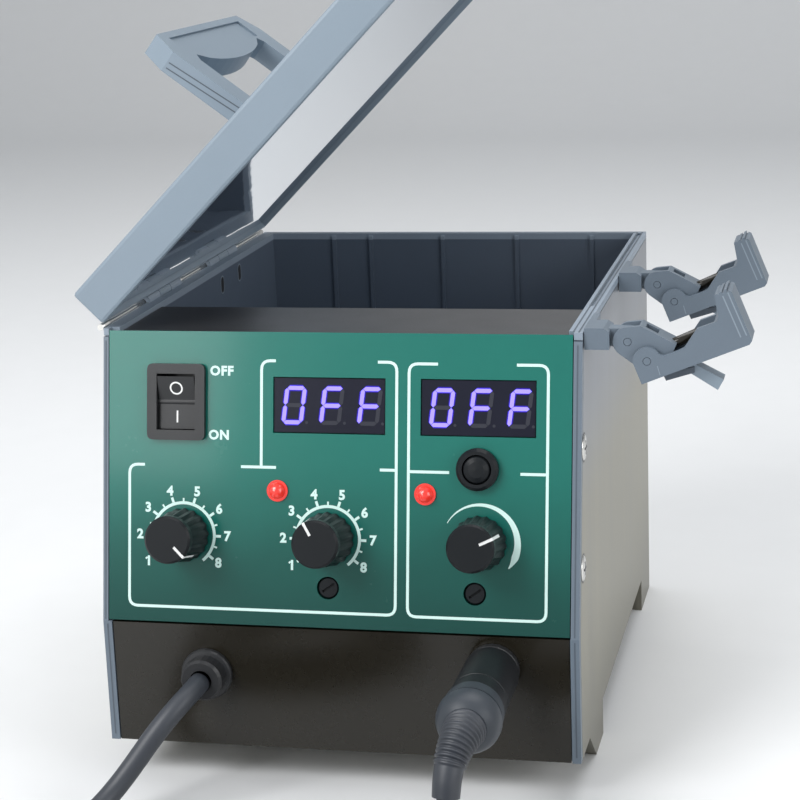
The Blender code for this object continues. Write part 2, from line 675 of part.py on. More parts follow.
def lid():
    """The lid stands open. Its frame sits on the hinge axis, with x across it and z out of it."""
    near, far = HINGE_OUTSET, HINGE_OUTSET + BODY_WIDTH
    front, back = PANEL_SET_BACK, BODY_DEPTH
    shell = block("lid_shell", (near, front, LID_LOW), (far, back, LID_HIGH), 0.0012)
    keep(shell, LID, SLATE)
    wall = LID_WALL
    seat = wall + 0.004
    hollows = [
        block("lid mouth", (near + wall, front + wall, -REACH), (far - wall, back - wall, LID_STEP)),
        block(
            "lid hollow", (near + seat, front + seat, -REACH),
            (far - seat, back - seat, LID_HIGH - wall),
        ),
    ]
    cut(shell, *hollows)
    ear_rear = HANDLE_THICKNESS / 2
    for k, inner in enumerate(handle_inner_faces()):
        ends = sorted((inner[0] + inner[1] * 2 * GAP, inner[0] + inner[1] * EAR_THICKNESS))
        outline = arc((HANDLE_FROM_HINGE, HANDLE_PIVOT_HEIGHT), EAR_RADIUS, 0, 180, 8)
        outline += [
            (HANDLE_FROM_HINGE - EAR_RADIUS - ear_rear, LID_HIGH - 0.001),
            (HANDLE_FROM_HINGE + EAR_RADIUS + ear_rear, LID_HIGH - 0.001),
        ]
        join(shell, prism(f"ear {k}", outline, *ends, "y"))
    for k, centre in enumerate(hinge_centres()):
        ends = knuckle_ends(centre)
        for n, (low, high) in enumerate((ends[0], ends[2])):
            cut(shell, rod(f"tray knuckle relief {k} {n}", KNUCKLE_RADIUS + KNUCKLE_GAP,
                           low - KNUCKLE_GAP, high + KNUCKLE_GAP, turn=ALONG_Y))
        low, high = ends[1]
        join(shell, knuckle(f"lid knuckle {k}", low, high, (0, 0, 0)))
        cut(shell, rod(f"lid hinge bore {k}", HINGE_PIN_RADIUS + RUNNING, centre - HINGE_LENGTH,
                       centre + HINGE_LENGTH, turn=ALONG_Y, steps=16))
        pin = rod(f"hinge_pin_{('front', 'rear')[k]}", HINGE_PIN_RADIUS,
                  centre - HINGE_LENGTH / 2, centre + HINGE_LENGTH / 2, at=HINGE_AXIS,
                  turn=ALONG_Y, steps=16)
        keep(pin, BODY, STEEL)
    for k, _ in enumerate(handle_inner_faces()):
        cut(shell, rod(f"ear bore {k}", HANDLE_PIN_RADIUS + RUNNING, front, back,
                       at=(HANDLE_FROM_HINGE, 0, HANDLE_PIVOT_HEIGHT), turn=ALONG_Y, steps=16))
    liner = block(
        "lid_liner", (near + wall + GAP, front + wall + GAP, LINER_RECESS),
        (far - wall - GAP, back - wall - GAP, LID_STEP - GAP),
    )
    keep(liner, LID, SLATE_DARK)


def handle_inner_faces():
    """Where each arm's inner face is along the depth, and which way the opening lies from it."""
    half = HANDLE_WIDTH / 2
    return ((MID_DEPTH - half + HANDLE_ARM, 1), (MID_DEPTH + half - HANDLE_ARM, -1))


def handle():
    """A flat bail: two arms and a deep grip. Its frame sits on its pivot, with z up its arms."""
    half = HANDLE_WIDTH / 2
    inner = half - HANDLE_ARM
    corner = HANDLE_CORNER
    outline = [
        (MID_DEPTH - half, 0),
        (MID_DEPTH - half, HANDLE_REACH - 1.6 * corner),
        (MID_DEPTH - half + corner, HANDLE_REACH),
        (MID_DEPTH + half - corner, HANDLE_REACH),
        (MID_DEPTH + half, HANDLE_REACH - 1.6 * corner),
        (MID_DEPTH + half, 0),
        (MID_DEPTH + inner, 0),
        (MID_DEPTH + inner, HANDLE_REACH - GRIP_DEPTH - 0.003),
    ]
    steps = 10
    for k in range(steps + 1):
        t = 1 - 2 * k / steps
        drop = GRIP_BELLY * (1 - t * t) ** 0.7
        outline.append((MID_DEPTH + t * (inner - 0.003), HANDLE_REACH - GRIP_DEPTH - drop))
    outline += [(MID_DEPTH - inner, HANDLE_REACH - GRIP_DEPTH - 0.003), (MID_DEPTH - inner, 0)]
    bail = prism("lid_handle", outline, -HANDLE_THICKNESS / 2, HANDLE_THICKNESS / 2, "x")
    keep(bail, HANDLE, SLATE)
    for k, (face, way) in enumerate(handle_inner_faces()):
        ends = sorted((face, face - way * HANDLE_ARM))
        eye = rod(f"handle eye {k}", HANDLE_THICKNESS / 2, *ends, turn=ALONG_Y)
        stub = sorted((face - way * 0.003, face + way * (EAR_THICKNESS - 0.0005)))
        trunnion = rod(f"handle trunnion {k}", HANDLE_PIN_RADIUS, *stub, turn=ALONG_Y, steps=16)
        join(bail, eye, trunnion)
    groove = HANDLE_THICKNESS / 2
    panel = block(
        "grip recess", (groove - 0.0008, MID_DEPTH - half + 0.012, HANDLE_REACH - GRIP_DEPTH + 0.001),
        (REACH, MID_DEPTH + half - 0.012, HANDLE_REACH - 0.003),
    )
    cut(bail, panel)


# Outlines of the two moving pieces of a tool rest, as (x, z) from their own pivots
CRADLE_OUTLINE = (
    (-0.0017, -0.0076),
    (0.0324, 0.0058),
    (0.0332, 0.0070),
    (0.0268, 0.0228),
    (0.0250, 0.0236),
    (0.0214, 0.0216),
    (0.0226, 0.0150),
    (0.0222, 0.0132),
    (0.0159, 0.0108),
    (0.0119, 0.0046),
    (0.0101, 0.0036),
    (0.0054, 0.0019),
)
LINK_END = ((0.0140, -0.0044), (0.0156, -0.0007), (0.0042, 0.0052))
LINK_THROAT = (
    (-0.0500, -0.0500), (0.0113, -0.0500), (0.0113, -0.0026), (0.0040, 0.0026), (0.0033, 0.0094),
    (-0.0500, 0.0094),
)


def tool_rest(end, front):
    """A block on the case side, a folding link and a cradle, each turning on its own pin."""
    back = front + CRADLE_WIDTH
    middle = (front + back) / 2
    start = HALF_WIDTH + GAP
    block_end = start + REST_BLOCK_LENGTH
    low, high = RIM_HEIGHT - REST_BLOCK_BELOW_RIM, RIM_HEIGHT + REST_BLOCK_ABOVE_RIM
    pivot = LINK_PIVOT
    outline = [
        (start, low), (block_end, low), (block_end, high - 0.0012), (block_end - 0.0018, high),
        (start, high),
    ]
    bracket = prism(f"rest_bracket_{end}", outline, front + 0.0005, back - 0.0005, "y")
    keep(bracket, BODY, SLATE)
    flange = block(
        f"bracket flange {end}", (start, middle, low + 0.0002),
        (start + REST_FLANGE, back + 0.011, high - 0.0002),
    )
    tongue = arc(pivot, TONGUE_RADIUS, -90, 90, 8)
    tongue += [(block_end - 0.002, pivot[1] + TONGUE_RADIUS),
               (block_end - 0.002, low + 0.0006), (block_end, low + 0.0006)]
    ends = (middle - TONGUE_WIDTH / 2, middle + TONGUE_WIDTH / 2)
    join(bracket, flange, prism(f"bracket tongue {end}", tongue, *ends, "y"))

    def bore(name, at):
        return rod(f"{name} {end}", REST_PIN_RADIUS + RUNNING, front - 0.01, back + 0.01,
                   at=(at[0], 0, at[1]), turn=ALONG_Y, steps=16)

    cut(bracket, bore("bracket bore", pivot))
    spots = (middle - LINK_WIDTH / 2, middle + LINK_WIDTH / 2)
    outline = arc((0, 0), LINK_RADIUS, 90, 235, 10)
    outline += arc(CRADLE_FROM_LINK, TONGUE_RADIUS, 235, 300, 5)
    outline += LINK_END
    link = prism(f"rest_link_{end}", outline, *spots, "y")
    keep(link, LINKS[end], SLATE)
    slot = (spots[0] + LINK_PLATE, spots[1] - LINK_PLATE)
    window = block(
        f"link window {end}", (0.0056, middle - 0.0026, -0.002), (0.0096, middle + 0.0026, 0.02)
    )
    cut(link, prism(f"link throat {end}", LINK_THROAT, *slot, "y"), window)
    cut(link, bore("link bore a", (0, 0)), bore("link bore b", CRADLE_FROM_LINK))
    outline = list(CRADLE_OUTLINE) + arc((0, 0), CRADLE_LOBE, 30, 185, 10)
    cradle = prism(f"rest_cradle_{end}", outline, front, back, "y")
    keep(cradle, CRADLES[end], SLATE)
    start_of_floor, end_of_floor = (Vector(CRADLE_OUTLINE[k]) for k in (0, 1))
    along = (end_of_floor - start_of_floor).normalized()
    up = Vector((-along.y, along.x)) * CRADLE_PLATE
    channel = [
        tuple(start_of_floor + up - along * 0.011),
        tuple(start_of_floor + up + along * 0.0310),
        (0.0212, 0.0128),
        (0.0192, 0.0134),
        (0.0192, 0.0360),
        (-0.0116, 0.0360),
    ]
    inside = (front + CRADLE_PLATE, back - CRADLE_PLATE)
    cut(cradle, prism(f"cradle channel {end}", channel, *inside, "y"))
    for k in range(3):
        x = 0.0222 + 0.0015 * k
        cut(cradle, block(f"pad groove {end} {k}", (x, front - 0.01, 0.0220 + 0.0004 * k),
                          (x + 0.0006, back + 0.01, 0.035)))
    cut(cradle, bore("cradle bore", (0, 0)))
    pins = (("link", pivot, LINK_WIDTH, BODY), ("cradle", CRADLE_FROM_LINK, CRADLE_WIDTH, LINKS[end]))
    for joint, at, width, parent in pins:
        pin = rod(f"{joint}_pin_{end}", REST_PIN_RADIUS, middle - width / 2, middle + width / 2,
                  at=(at[0], 0, at[1]), turn=ALONG_Y, steps=16)
        keep(pin, parent, SLATE)


def rocker_switch():
    x, y = SWITCH_AT
    bezel = prism(
        "switch_body", rounded(rectangle(SWITCH_AT, SWITCH_BEZEL), 0.002), GAP, 0.0020, "z"
    )
    keep(bezel, PANEL, SATIN_BLACK)
    inner = [SWITCH_BEZEL[k] - 0.0012 - 2 * GAP for k in (0, 1)]
    join(bezel, prism("switch can", rectangle(SWITCH_AT, inner), -SWITCH_DEPTH, 0.0010, "z"))
    pocket = prism("rocker pocket", rectangle(SWITCH_AT, SWITCH_OPENING), -0.0085, 0.01, "z")
    pivot_hole = rod("rocker pivot hole", 0.0014, -0.0078, 0.0078, at=(x, y, -0.001), turn=ALONG_X,
                     steps=16)
    cut(bezel, pocket, pivot_hole)
    half = SWITCH_OPENING[1] / 2 - 0.0005
    outline = [
        (-half, 0.0022), (-half * 0.82, -0.0032), (0, -0.0050), (half * 0.82, -0.0032),
        (half, 0.0022), (0, 0.0008),
    ]
    width = SWITCH_OPENING[0] / 2 - GAP
    rocker = prism("switch_rocker", outline, -width, width, "x")
    keep(rocker, ROCKER, SATIN_BLACK)
    join(rocker, rod("rocker trunnion", 0.0012, -0.0074, 0.0074, turn=ALONG_X, steps=16))


def knob(name, at):
    """A fluted knob with a pointer groove, on the shaft of its control."""
    low, high = KNOB_STANDOFF, KNOB_STANDOFF + KNOB_HEIGHT
    middle = high - KNOB_CAP
    cap = turned(
        f"knob_{name}",
        [(0, high), (KNOB_TOP_RADIUS - 0.0007, high), (KNOB_TOP_RADIUS, high - 0.0007),
         (KNOB_TOP_RADIUS, middle - 0.0002), (0, middle - 0.0002)],
        steps=36,
    )
    keep(cap, KNOBS[name], SATIN_BLACK)
    steps = FLUTES * 4
    ring = []
    for k in range(steps):
        turn = 2 * math.pi * k / steps
        radius = KNOB_RADIUS - FLUTE_DEPTH + FLUTE_DEPTH * math.cos(FLUTES * turn)
        ring.append((radius * math.cos(turn), radius * math.sin(turn)))
    skirt = prism(f"knob skirt {name}", ring, low, middle, "z")
    narrow = (KNOB_TOP_RADIUS - 0.0004) / KNOB_RADIUS
    for vertex in skirt.data.vertices:
        if vertex.co.z > (low + middle) / 2:
            vertex.co.x *= narrow
            vertex.co.y *= narrow
    join(cap, skirt)
    cavity = turned(
        f"knob cavity {name}",
        [(0, low + 0.012), (SHAFT_RADIUS + GAP, low + 0.012), (SHAFT_RADIUS + GAP, low + 0.0045),
         (0.0058, low + 0.0045), (0.0058, low - 0.01), (0, low - 0.01)],
    )
    pointer = block(f"pointer {name}", (-0.0005, 0.0030, high - 0.0003), (0.0005, 0.012, high + 0.01))
    cut(cap, cavity, pointer)
    join(cap, rod(f"shaft {name}", SHAFT_RADIUS, -0.0095, low + 0.013))
    barrel = SHAFT_RADIUS + 0.0013
    body = turned(
        f"potentiometer_{name}",
        [(SHAFT_RADIUS + GAP, 0.0038), (barrel, 0.0038), (barrel, 0.0028), (0.0054, 0.0028),
         (0.0054, GAP), (barrel, GAP), (barrel, -SHEET - GAP), (0.0078, -SHEET - GAP),
         (0.0080, -SHEET - 0.0008), (0.0080, -BOARD_SETBACK + GAP), (0, -BOARD_SETBACK + GAP),
         (0, -0.0099), (SHAFT_RADIUS + GAP, -0.0099), (SHAFT_RADIUS + GAP, 0.0038)],
        at=(*at, 0),
    )
    keep(body, PANEL, STEEL)


def small_controls():
    for name, at in DISPLAYS_AT.items():
        low, high = -BOARD_SETBACK + GAP, -0.0005
        keep(prism(f"display_{name}", rectangle(at, DISPLAY_SIZE), low, high, "z"), PANEL,
             DISPLAY_BLACK)
    for name, at in LEDS_AT.items():
        dome = [(LED_RADIUS * math.sin(math.radians(a)), 0.0006 + LED_RADIUS * math.cos(math.radians(a)))
                for a in range(0, 91, 15)]
        profile = [*dome, (LED_RADIUS, 0.0006), (LED_RADIUS + 0.0008, 0.0006),
                   (LED_RADIUS + 0.0008, GAP), (LED_RADIUS, GAP),
                   (LED_RADIUS, -BOARD_SETBACK + GAP), (0, -BOARD_SETBACK + GAP)]
        keep(turned(f"led_{name}", profile, at=(*at, 0)), PANEL, RED_LENS)
    bore = BUTTON_RADIUS + GAP
    outer = BUTTON_RADIUS + 0.0010
    ring = turned(
        "set_button_body",
        [(bore, 0.0034), (BUTTON_RING_RADIUS - 0.001, 0.0034), (BUTTON_RING_RADIUS, 0.0024),
         (BUTTON_RING_RADIUS, GAP), (outer, GAP), (outer, -BOARD_SETBACK + GAP),
         (0, -BOARD_SETBACK + GAP), (0, -0.0085), (bore, -0.0085), (bore, 0.0034)],
        at=(*SET_BUTTON_AT, 0),
    )
    keep(ring, PANEL, SATIN_BLACK)
    cap = turned(
        "set_button_cap",
        [(0, 0.0046), (BUTTON_RADIUS - 0.002, 0.0044), (BUTTON_RADIUS - 0.0005, 0.0036),
         (BUTTON_RADIUS, 0.0026), (BUTTON_RADIUS, -0.0045), (0, -0.0045)],
    )
    keep(cap, BUTTON, SATIN_BLACK)
    for name in TRIMMERS_AT:
        rotor = turned(
            f"cal_trimmer_{name}",
            [(0, -0.0006), (TRIMMER_RADIUS - 0.0004, -0.0006), (TRIMMER_RADIUS, -0.0010),
             (TRIMMER_RADIUS, -BOARD_SETBACK + GAP), (0, -BOARD_SETBACK + GAP)],
        )
        keep(rotor, TRIMMERS[name], SATIN_BLACK)
        slot = block(f"trimmer slot {name}", (-0.0024, -0.0004, -0.0016), (0.0024, 0.0004, 0.01))
        cut(rotor, slot)


def control_board():
    """The board behind the sloping panel, on four posts, cut away for the rocker switch."""
    low, high = -BOARD_SETBACK - BOARD_THICKNESS, -BOARD_SETBACK
    middle, size = PANEL_LENGTH / 2, (2 * INSIDE - 0.0104, PANEL_LENGTH - 0.0130)
    board = prism("control_board", rectangle((0, middle), size), low, high, "z")
    keep(board, PANEL, BOARD_GREEN)
    posts = [
        rod(
            f"post {x} {y}", 0.0025, low + 0.0002, -SHEET - GAP,
            at=(x * (size[0] / 2 - 0.004), middle + y * (size[1] / 2 - 0.004), 0), steps=16,
        )
        for x in (-1, 1) for y in (-1, 1)
    ]
    space = [s + 0.001 for s in SWITCH_BEZEL]
    cut(board, prism("switch space", rectangle(SWITCH_AT, space), -REACH, REACH, "z"))
    join(board, *posts)


def front_fittings():
    gland = turned(
        "cord_gland",
        [(AIR_CORD_RADIUS + GAP, GLAND_LENGTH), (GLAND_BODY_RADIUS - 0.0008, GLAND_LENGTH),
         (GLAND_BODY_RADIUS, GLAND_LENGTH - 0.001), (GLAND_BODY_RADIUS, 0.0022),
         (GLAND_FLANGE_RADIUS - 0.0004, 0.0020), (GLAND_FLANGE_RADIUS, 0.0014),
         (GLAND_FLANGE_RADIUS, -0.0002), (GLAND_BODY_RADIUS - 0.0009, -0.0002),
         (GLAND_BODY_RADIUS - 0.0009, -0.008), (AIR_CORD_RADIUS + GAP, -0.008),
         (AIR_CORD_RADIUS + GAP, GLAND_LENGTH)],
        at=(*GLAND_AT, 0),
    )
    keep(gland, FRONT, SATIN_BLACK)
    neck = SOCKET_RADIUS - 0.0018 - GAP
    socket = turned(
        "iron_socket",
        [(0, 0.0030), (SOCKET_RADIUS - 0.0006, 0.0030), (SOCKET_RADIUS, 0.0022),
         (SOCKET_RADIUS, -0.0002), (neck, -0.0002), (neck, -0.014), (0, -0.014)],
        at=(*SOCKET_AT, 0),
    )
    keep(socket, FRONT, STEEL)
    end = PLUG_START + PLUG_LENGTH
    r = PLUG_RADIUS
    plug = turned(
        "iron_plug",
        [(0, end - GAP), (0.0066, end - GAP), (r - 0.0022, end - 0.0022), (r - 0.0002, end - 0.0085),
         (r, end - 0.0090), (r, end - 0.0140), (r - 0.0005, end - 0.0143), (r - 0.0005, end - 0.0235),
         (r - 0.0009, end - 0.0240), (r - 0.0009, PLUG_START), (0, PLUG_START)],
        at=(*SOCKET_AT, 0),
        steps=28,
    )
    keep(plug, FRONT, SATIN_BLACK)


def cords():
    keep(tube("air_cord", smooth_route(AIR_CORD_ROUTE, 0.008), AIR_CORD_RADIUS), BODY, RUBBER)
    keep(tube("air_cord_end", smooth_route(AIR_TAIL_ROUTE, 0.012), AIR_CORD_RADIUS), BODY, RUBBER)
    line = list(BOOT_ROUTE) + smooth_route(IRON_CORD_ROUTE, 0.0065)
    radii = list(BOOT_RADII) + [IRON_CORD_RADIUS] * (len(line) - len(BOOT_RADII))
    keep(tube("iron_cord", line, max(BOOT_RADII), radii), BODY, RUBBER)
    keep(tube("iron_cord_end", smooth_route(IRON_TAIL_ROUTE, 0.008), IRON_CORD_RADIUS), BODY, RUBBER)
    for name, coil in (("air_cord_coil", AIR_COIL), ("iron_cord_coil", IRON_COIL)):
        inner, outer, top = coil["inner"], coil["outer"], coil["height"]
        soft = 0.003
        profile = [
            (inner + soft, top), (outer - soft, top), (outer, top - soft), (outer, soft),
            (outer - soft, 0.0001), (inner + soft, 0.0001), (inner, soft), (inner, top - soft),
            (inner + soft, top),
        ]
        keep(turned(name, profile, at=(*coil["at"], 0), steps=48), BODY, RUBBER)


def tools():
    """The hot air handpiece and the soldering iron that the two cords end in, lying on the bench."""
    grip = turned(
        "air_handpiece",
        [(0, 0.138), (0.0125, 0.138), (0.0165, 0.132), (0.0180, 0.118), (0.0160, 0.100),
         (0.0150, 0.070), (0.0165, 0.035), (0.0170, 0.018), (0.0150, 0.010), (0.0075, 0.004),
         (0.0060, GAP), (0, GAP)],
        at=AIR_TOOL_AT, turn=ALONG_X, steps=24,
    )
    keep(grip, BODY, SATIN_BLACK)
    nozzle = turned(
        "air_nozzle",
        [(0.0035, 0.174), (0.0048, 0.174), (0.0052, 0.160), (0.0105, 0.154), (0.0110, 0.1385 + GAP),
         (0.0035, 0.1385 + GAP), (0.0035, 0.174)],
        at=AIR_TOOL_AT, turn=ALONG_X, steps=24,
    )
    keep(nozzle, BODY, STEEL)
    handle_turn = (0, math.radians(-90), 0)
    iron = turned(
        "iron_handle",
        [(0, 0.104), (0.0078, 0.104), (0.0098, 0.098), (0.0100, 0.086), (0.0078, 0.074),
         (0.0070, 0.045), (0.0080, 0.018), (0.0072, 0.008), (0.0050, 0.002), (0.0045, GAP), (0, GAP)],
        at=IRON_TOOL_AT, turn=handle_turn, steps=20,
    )
    keep(iron, BODY, BLUE_GRIP)
    tip = turned(
        "iron_tip",
        [(0, 0.158), (0.0010, 0.156), (0.0032, 0.146), (0.0032, 0.130), (0.0042, 0.128),
         (0.0042, 0.106), (0.0052, 0.1045), (0, 0.1045)],
        at=IRON_TOOL_AT, turn=handle_turn, steps=20,
    )
    keep(tip, BODY, STEEL)


def electronics():
    """The transformer and the power board on the base plate, under the tray."""
    base = BENCH_CLEARANCE + GAP + SHEET + GAP
    room = TRAY_FLOOR - TRAY_WALL - base

    def spot(across, deep, up):
        return (across * INSIDE, deep * BODY_DEPTH, base + up * room)

    core = block("transformer", spot(0.13, 0.484, 0), spot(0.87, 0.714, 0.52), 0.001)
    keep(core, BODY, CORE)
    join(core, block("transformer coil", spot(0.28, 0.43, 0.10), spot(0.72, 0.77, 0.42), 0.003))
    low, top = 0.0625, 0.0625 + BOARD_THICKNESS / room
    board = block("power_board", spot(-0.90, 0.28, low), spot(-0.08, 0.85, top))
    keep(board, BODY, BOARD_GREEN)
    board_low, board_top = spot(0, 0, low)[2], spot(0, 0, top)[2]
    posts = [
        rod(f"board post {x} {y}", 0.003, base, board_low + 0.001, at=spot(x, y, 0)[:2] + (0,), steps=16)
        for x in (-0.84, -0.14) for y in (0.30, 0.83)
    ]
    capacitors = [
        rod(f"capacitor {k}", 0.1 * INSIDE, board_top - 0.0005, spot(0, 0, 0.38)[2],
            at=spot(-0.24, 0.40 + 0.1 * k, 0)[:2] + (0,))
        for k in range(3)
    ]
    relay = block("relay", spot(-0.79, 0.69, top - 0.005), spot(-0.54, 0.77, 0.25))
    join(board, *posts, *capacitors, relay)
    left, right = spot(-0.82, 0, 0)[0], spot(-0.46, 0, 0)[0]
    front, back = spot(0, 0.37, 0)[1], spot(0, 0.62, 0)[1]
    sink_low = board_top + GAP
    sink = block("heat_sink", (left, front, sink_low), (right, back, spot(0, 0, 0.36)[2]))
    keep(sink, BODY, ALUMINIUM)
    pitch = (right - left) / 5.4
    fins = [
        block(
            f"fin gap {k}", (left + pitch * (k + 0.3), front - 0.01, sink_low + 0.004),
            (left + pitch * (k + 1), back + 0.01, TRAY_FLOOR),
        )
        for k in range(5)
    ]
    cut(sink, *fins)


def settle_origin():
    """Moves everything so that the origin lies under the middle of all but the cords."""
    bpy.context.view_layer.update()
    graph = bpy.context.evaluated_depsgraph_get()
    spots = []
    for obj in PARTS.objects:
        if obj.type != "MESH" or obj.name in CORD_PIECES:
            continue
        shaped = obj.evaluated_get(graph)
        spots += [shaped.matrix_world @ vertex.co for vertex in shaped.data.vertices]
    for axis in (0, 1):
        ends = [spot[axis] for spot in spots]
        BODY.location[axis] = -(min(ends) + max(ends)) / 2
    bpy.context.view_layer.update()


CORD_PIECES = (
    "air_cord", "air_cord_end", "air_cord_coil", "iron_cord", "iron_cord_end", "iron_cord_coil",
    "iron_plug", "air_handpiece", "air_nozzle", "iron_handle", "iron_tip",
)

clear_scene()
PARTS = new_collection("hot_air_rework_station")
CUTTERS = new_collection("cutters")
CUTTERS.hide_render = True
QUARTER = math.radians(90)
BODY = frame("station")
PANEL = frame("sloping_panel", BODY, (0, 0, BREAK_HEIGHT), (QUARTER - PANEL_LEAN, 0, 0))
FRONT = frame("lower_front", BODY, (0, 0, 0), (QUARTER, 0, 0))
BACK = frame("back_face", BODY, (0, BODY_DEPTH, 0), (QUARTER, 0, math.radians(180)))
LID = frame("lid_hinge", BODY, HINGE_AXIS, (0, -LID_OPEN, 0))
HANDLE = frame(
    "handle_hinge", LID, (HANDLE_FROM_HINGE, 0, HANDLE_PIVOT_HEIGHT), (0, -HANDLE_LEAN, 0)
)
ROCKER = frame("rocker_pivot", PANEL, (*SWITCH_AT, -0.001), (ROCKER_TILT, 0, 0))
BUTTON = frame("button_axis", PANEL, (*SET_BUTTON_AT, 0))
KNOB_TURNS = {"air": math.radians(-135), "heat": math.radians(30), "board": math.radians(-65)}
KNOBS = {name: frame(f"knob_axis_{name}", PANEL, (*at, 0), (0, 0, KNOB_TURNS[name]))
         for name, at in KNOBS_AT.items()}
TRIMMERS = {name: frame(f"trimmer_axis_{name}", PANEL, (*at, 0), (0, 0, math.radians(35)))
            for name, at in TRIMMERS_AT.items()}
LINKS = {end: frame(f"link_hinge_{end}", BODY, (LINK_PIVOT[0], 0, LINK_PIVOT[1]))
         for end in ("front", "rear")}
CRADLES = {end: frame(f"cradle_hinge_{end}", LINKS[end], (CRADLE_FROM_LINK[0], 0, CRADLE_FROM_LINK[1]))
           for end in ("front", "rear")}

case_shell()
control_panel()
lower_panel()
rear_panel()
rear_fittings()
tray()
lid()
handle()
tool_rest("front", REST_FRONT)
tool_rest("rear", REST_FRONT + REST_SPACING)
rocker_switch()
for knob_name, knob_at in KNOBS_AT.items():
    knob(knob_name, knob_at)
small_controls()
control_board()
front_fittings()
cords()
tools()
electronics()
settle_origin()
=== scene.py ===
# %% [markdown]
# # A hot air rework station, finished over its CAD frame
#
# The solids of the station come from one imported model. This lesson gives them their finish, adds the
# details that are surfaces rather than solids, and sets up the camera and the light of a product picture.
#
# Every measure is in metres. `Z` points up, and the front of the case faces `-Y`.

import json
import math

import bpy
import numpy as np
from mathutils import Matrix, Vector


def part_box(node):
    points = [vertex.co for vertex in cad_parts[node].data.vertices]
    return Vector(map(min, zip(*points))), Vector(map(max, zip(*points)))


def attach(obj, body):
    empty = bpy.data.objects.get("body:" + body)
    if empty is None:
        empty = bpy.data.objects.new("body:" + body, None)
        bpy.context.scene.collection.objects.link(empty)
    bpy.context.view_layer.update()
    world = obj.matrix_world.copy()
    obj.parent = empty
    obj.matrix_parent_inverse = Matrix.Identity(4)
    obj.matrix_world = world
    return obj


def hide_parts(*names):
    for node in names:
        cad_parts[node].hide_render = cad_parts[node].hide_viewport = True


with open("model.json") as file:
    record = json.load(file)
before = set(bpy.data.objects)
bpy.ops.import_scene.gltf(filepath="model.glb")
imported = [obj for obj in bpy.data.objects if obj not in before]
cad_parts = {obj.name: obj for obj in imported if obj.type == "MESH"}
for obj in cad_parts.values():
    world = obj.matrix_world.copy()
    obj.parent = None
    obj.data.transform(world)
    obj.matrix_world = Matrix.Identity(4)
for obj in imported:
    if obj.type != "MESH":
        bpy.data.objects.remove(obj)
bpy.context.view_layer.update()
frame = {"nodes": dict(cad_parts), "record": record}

# %% [markdown]
# ## Where things are
#
# The case has its own zero: the middle of its front edge, on the bench. `ROW` is where that point lies in
# the model. The sloping panel has two directions of its own: `ALONG_PANEL` climbs it and `OUT_OF_PANEL`
# points out of it. Each flat face that carries something gets a function that places points on it.

# %%
MM = 0.001
frame_low, frame_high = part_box("front_frame")
ROW = np.array([(frame_low.x + frame_high.x) / 2, frame_low.y, 0.0])
HALF_WIDTH = (frame_high.x - frame_low.x) / 2
BODY_DEPTH = 0.217
BREAK_HEIGHT = 0.056
RIM_HEIGHT = 0.153
RIM_WIDTH = 0.0048
PANEL_SET_BACK = 0.020
PANEL_LENGTH = math.hypot(PANEL_SET_BACK, RIM_HEIGHT - BREAK_HEIGHT)
ALONG_PANEL = np.array([0, PANEL_SET_BACK, RIM_HEIGHT - BREAK_HEIGHT]) / PANEL_LENGTH
OUT_OF_PANEL = np.array([0, -ALONG_PANEL[2], ALONG_PANEL[1]])
print("case zero at", ROW.round(4), "and panel direction", ALONG_PANEL.round(4))


def face_at(origin, first, second, out):
    """A function that takes points (first, second, out) of a flat face to the model: the case's zero plus
    the face's origin, plus each of the three numbers along its own direction."""
    start = ROW + np.array(origin)
    directions = np.array([first, second, out])
    return lambda points: start + np.asarray(points, float) @ directions


X, Y, Z = np.eye(3)
on_panel = face_at((0, 0, BREAK_HEIGHT), X, ALONG_PANEL, OUT_OF_PANEL)
on_front = face_at((0, 0, 0), X, Z, -Y)
on_rim = face_at((0, 0, RIM_HEIGHT), X, Y, Z)
on_side = face_at((HALF_WIDTH, 0, 0), Y, Z, X)
on_left = face_at((-HALF_WIDTH, 0, 0), -Y, Z, -X)
on_back = face_at((0, BODY_DEPTH, 0), -X, Z, Y)
on_left_wall = face_at((RIM_WIDTH - HALF_WIDTH, 0, 0), Y, Z, X)

# %% [markdown]
# ## The camera
#
# A long lens from a little above and to the right. The three directions are those of the picture: right,
# up and into it.

# %%
camera_data = bpy.data.cameras.new("camera")
camera_data.lens = 93.97
camera_data.sensor_width = 36
camera = bpy.data.objects.new("camera", camera_data)
bpy.context.scene.collection.objects.link(camera)
into = Vector((-0.2174, 0.9463, -0.2392)).normalized()
right = Vector((0.9759, 0.2149, -0.0370))
right = (right - into * right.dot(into)).normalized()
up = right.cross(into)
turn = Matrix((right, up, -into)).transposed()
place = Vector(ROW) + Vector((0.1699, -0.6309, 0.2944))
camera.matrix_world = Matrix.Translation(place) @ turn.to_4x4()
bpy.context.scene.camera = camera
bpy.context.scene.render.resolution_x = 800
bpy.context.scene.render.resolution_y = 800
print("camera", round(place.length, 3), "m from the model's zero")

# %% [markdown]
# ## Finishes
#
# One node group makes the small unevenness that every real surface has. It reads the place on the object,
# and mixes a fine and a broad noise. Each material sets how much of it goes into its colour, its roughness
# and its relief.


# %%
def maths(tree, operation, *given):
    """A maths node whose inputs are, in turn, plain numbers or linked outputs. Its output is returned."""
    node = tree.nodes.new("ShaderNodeMath")
    node.operation = operation
    for socket, value in zip(node.inputs, given):
        if isinstance(value, float):
            socket.default_value = value
        else:
            tree.links.new(value, socket)
    return node.outputs[0]


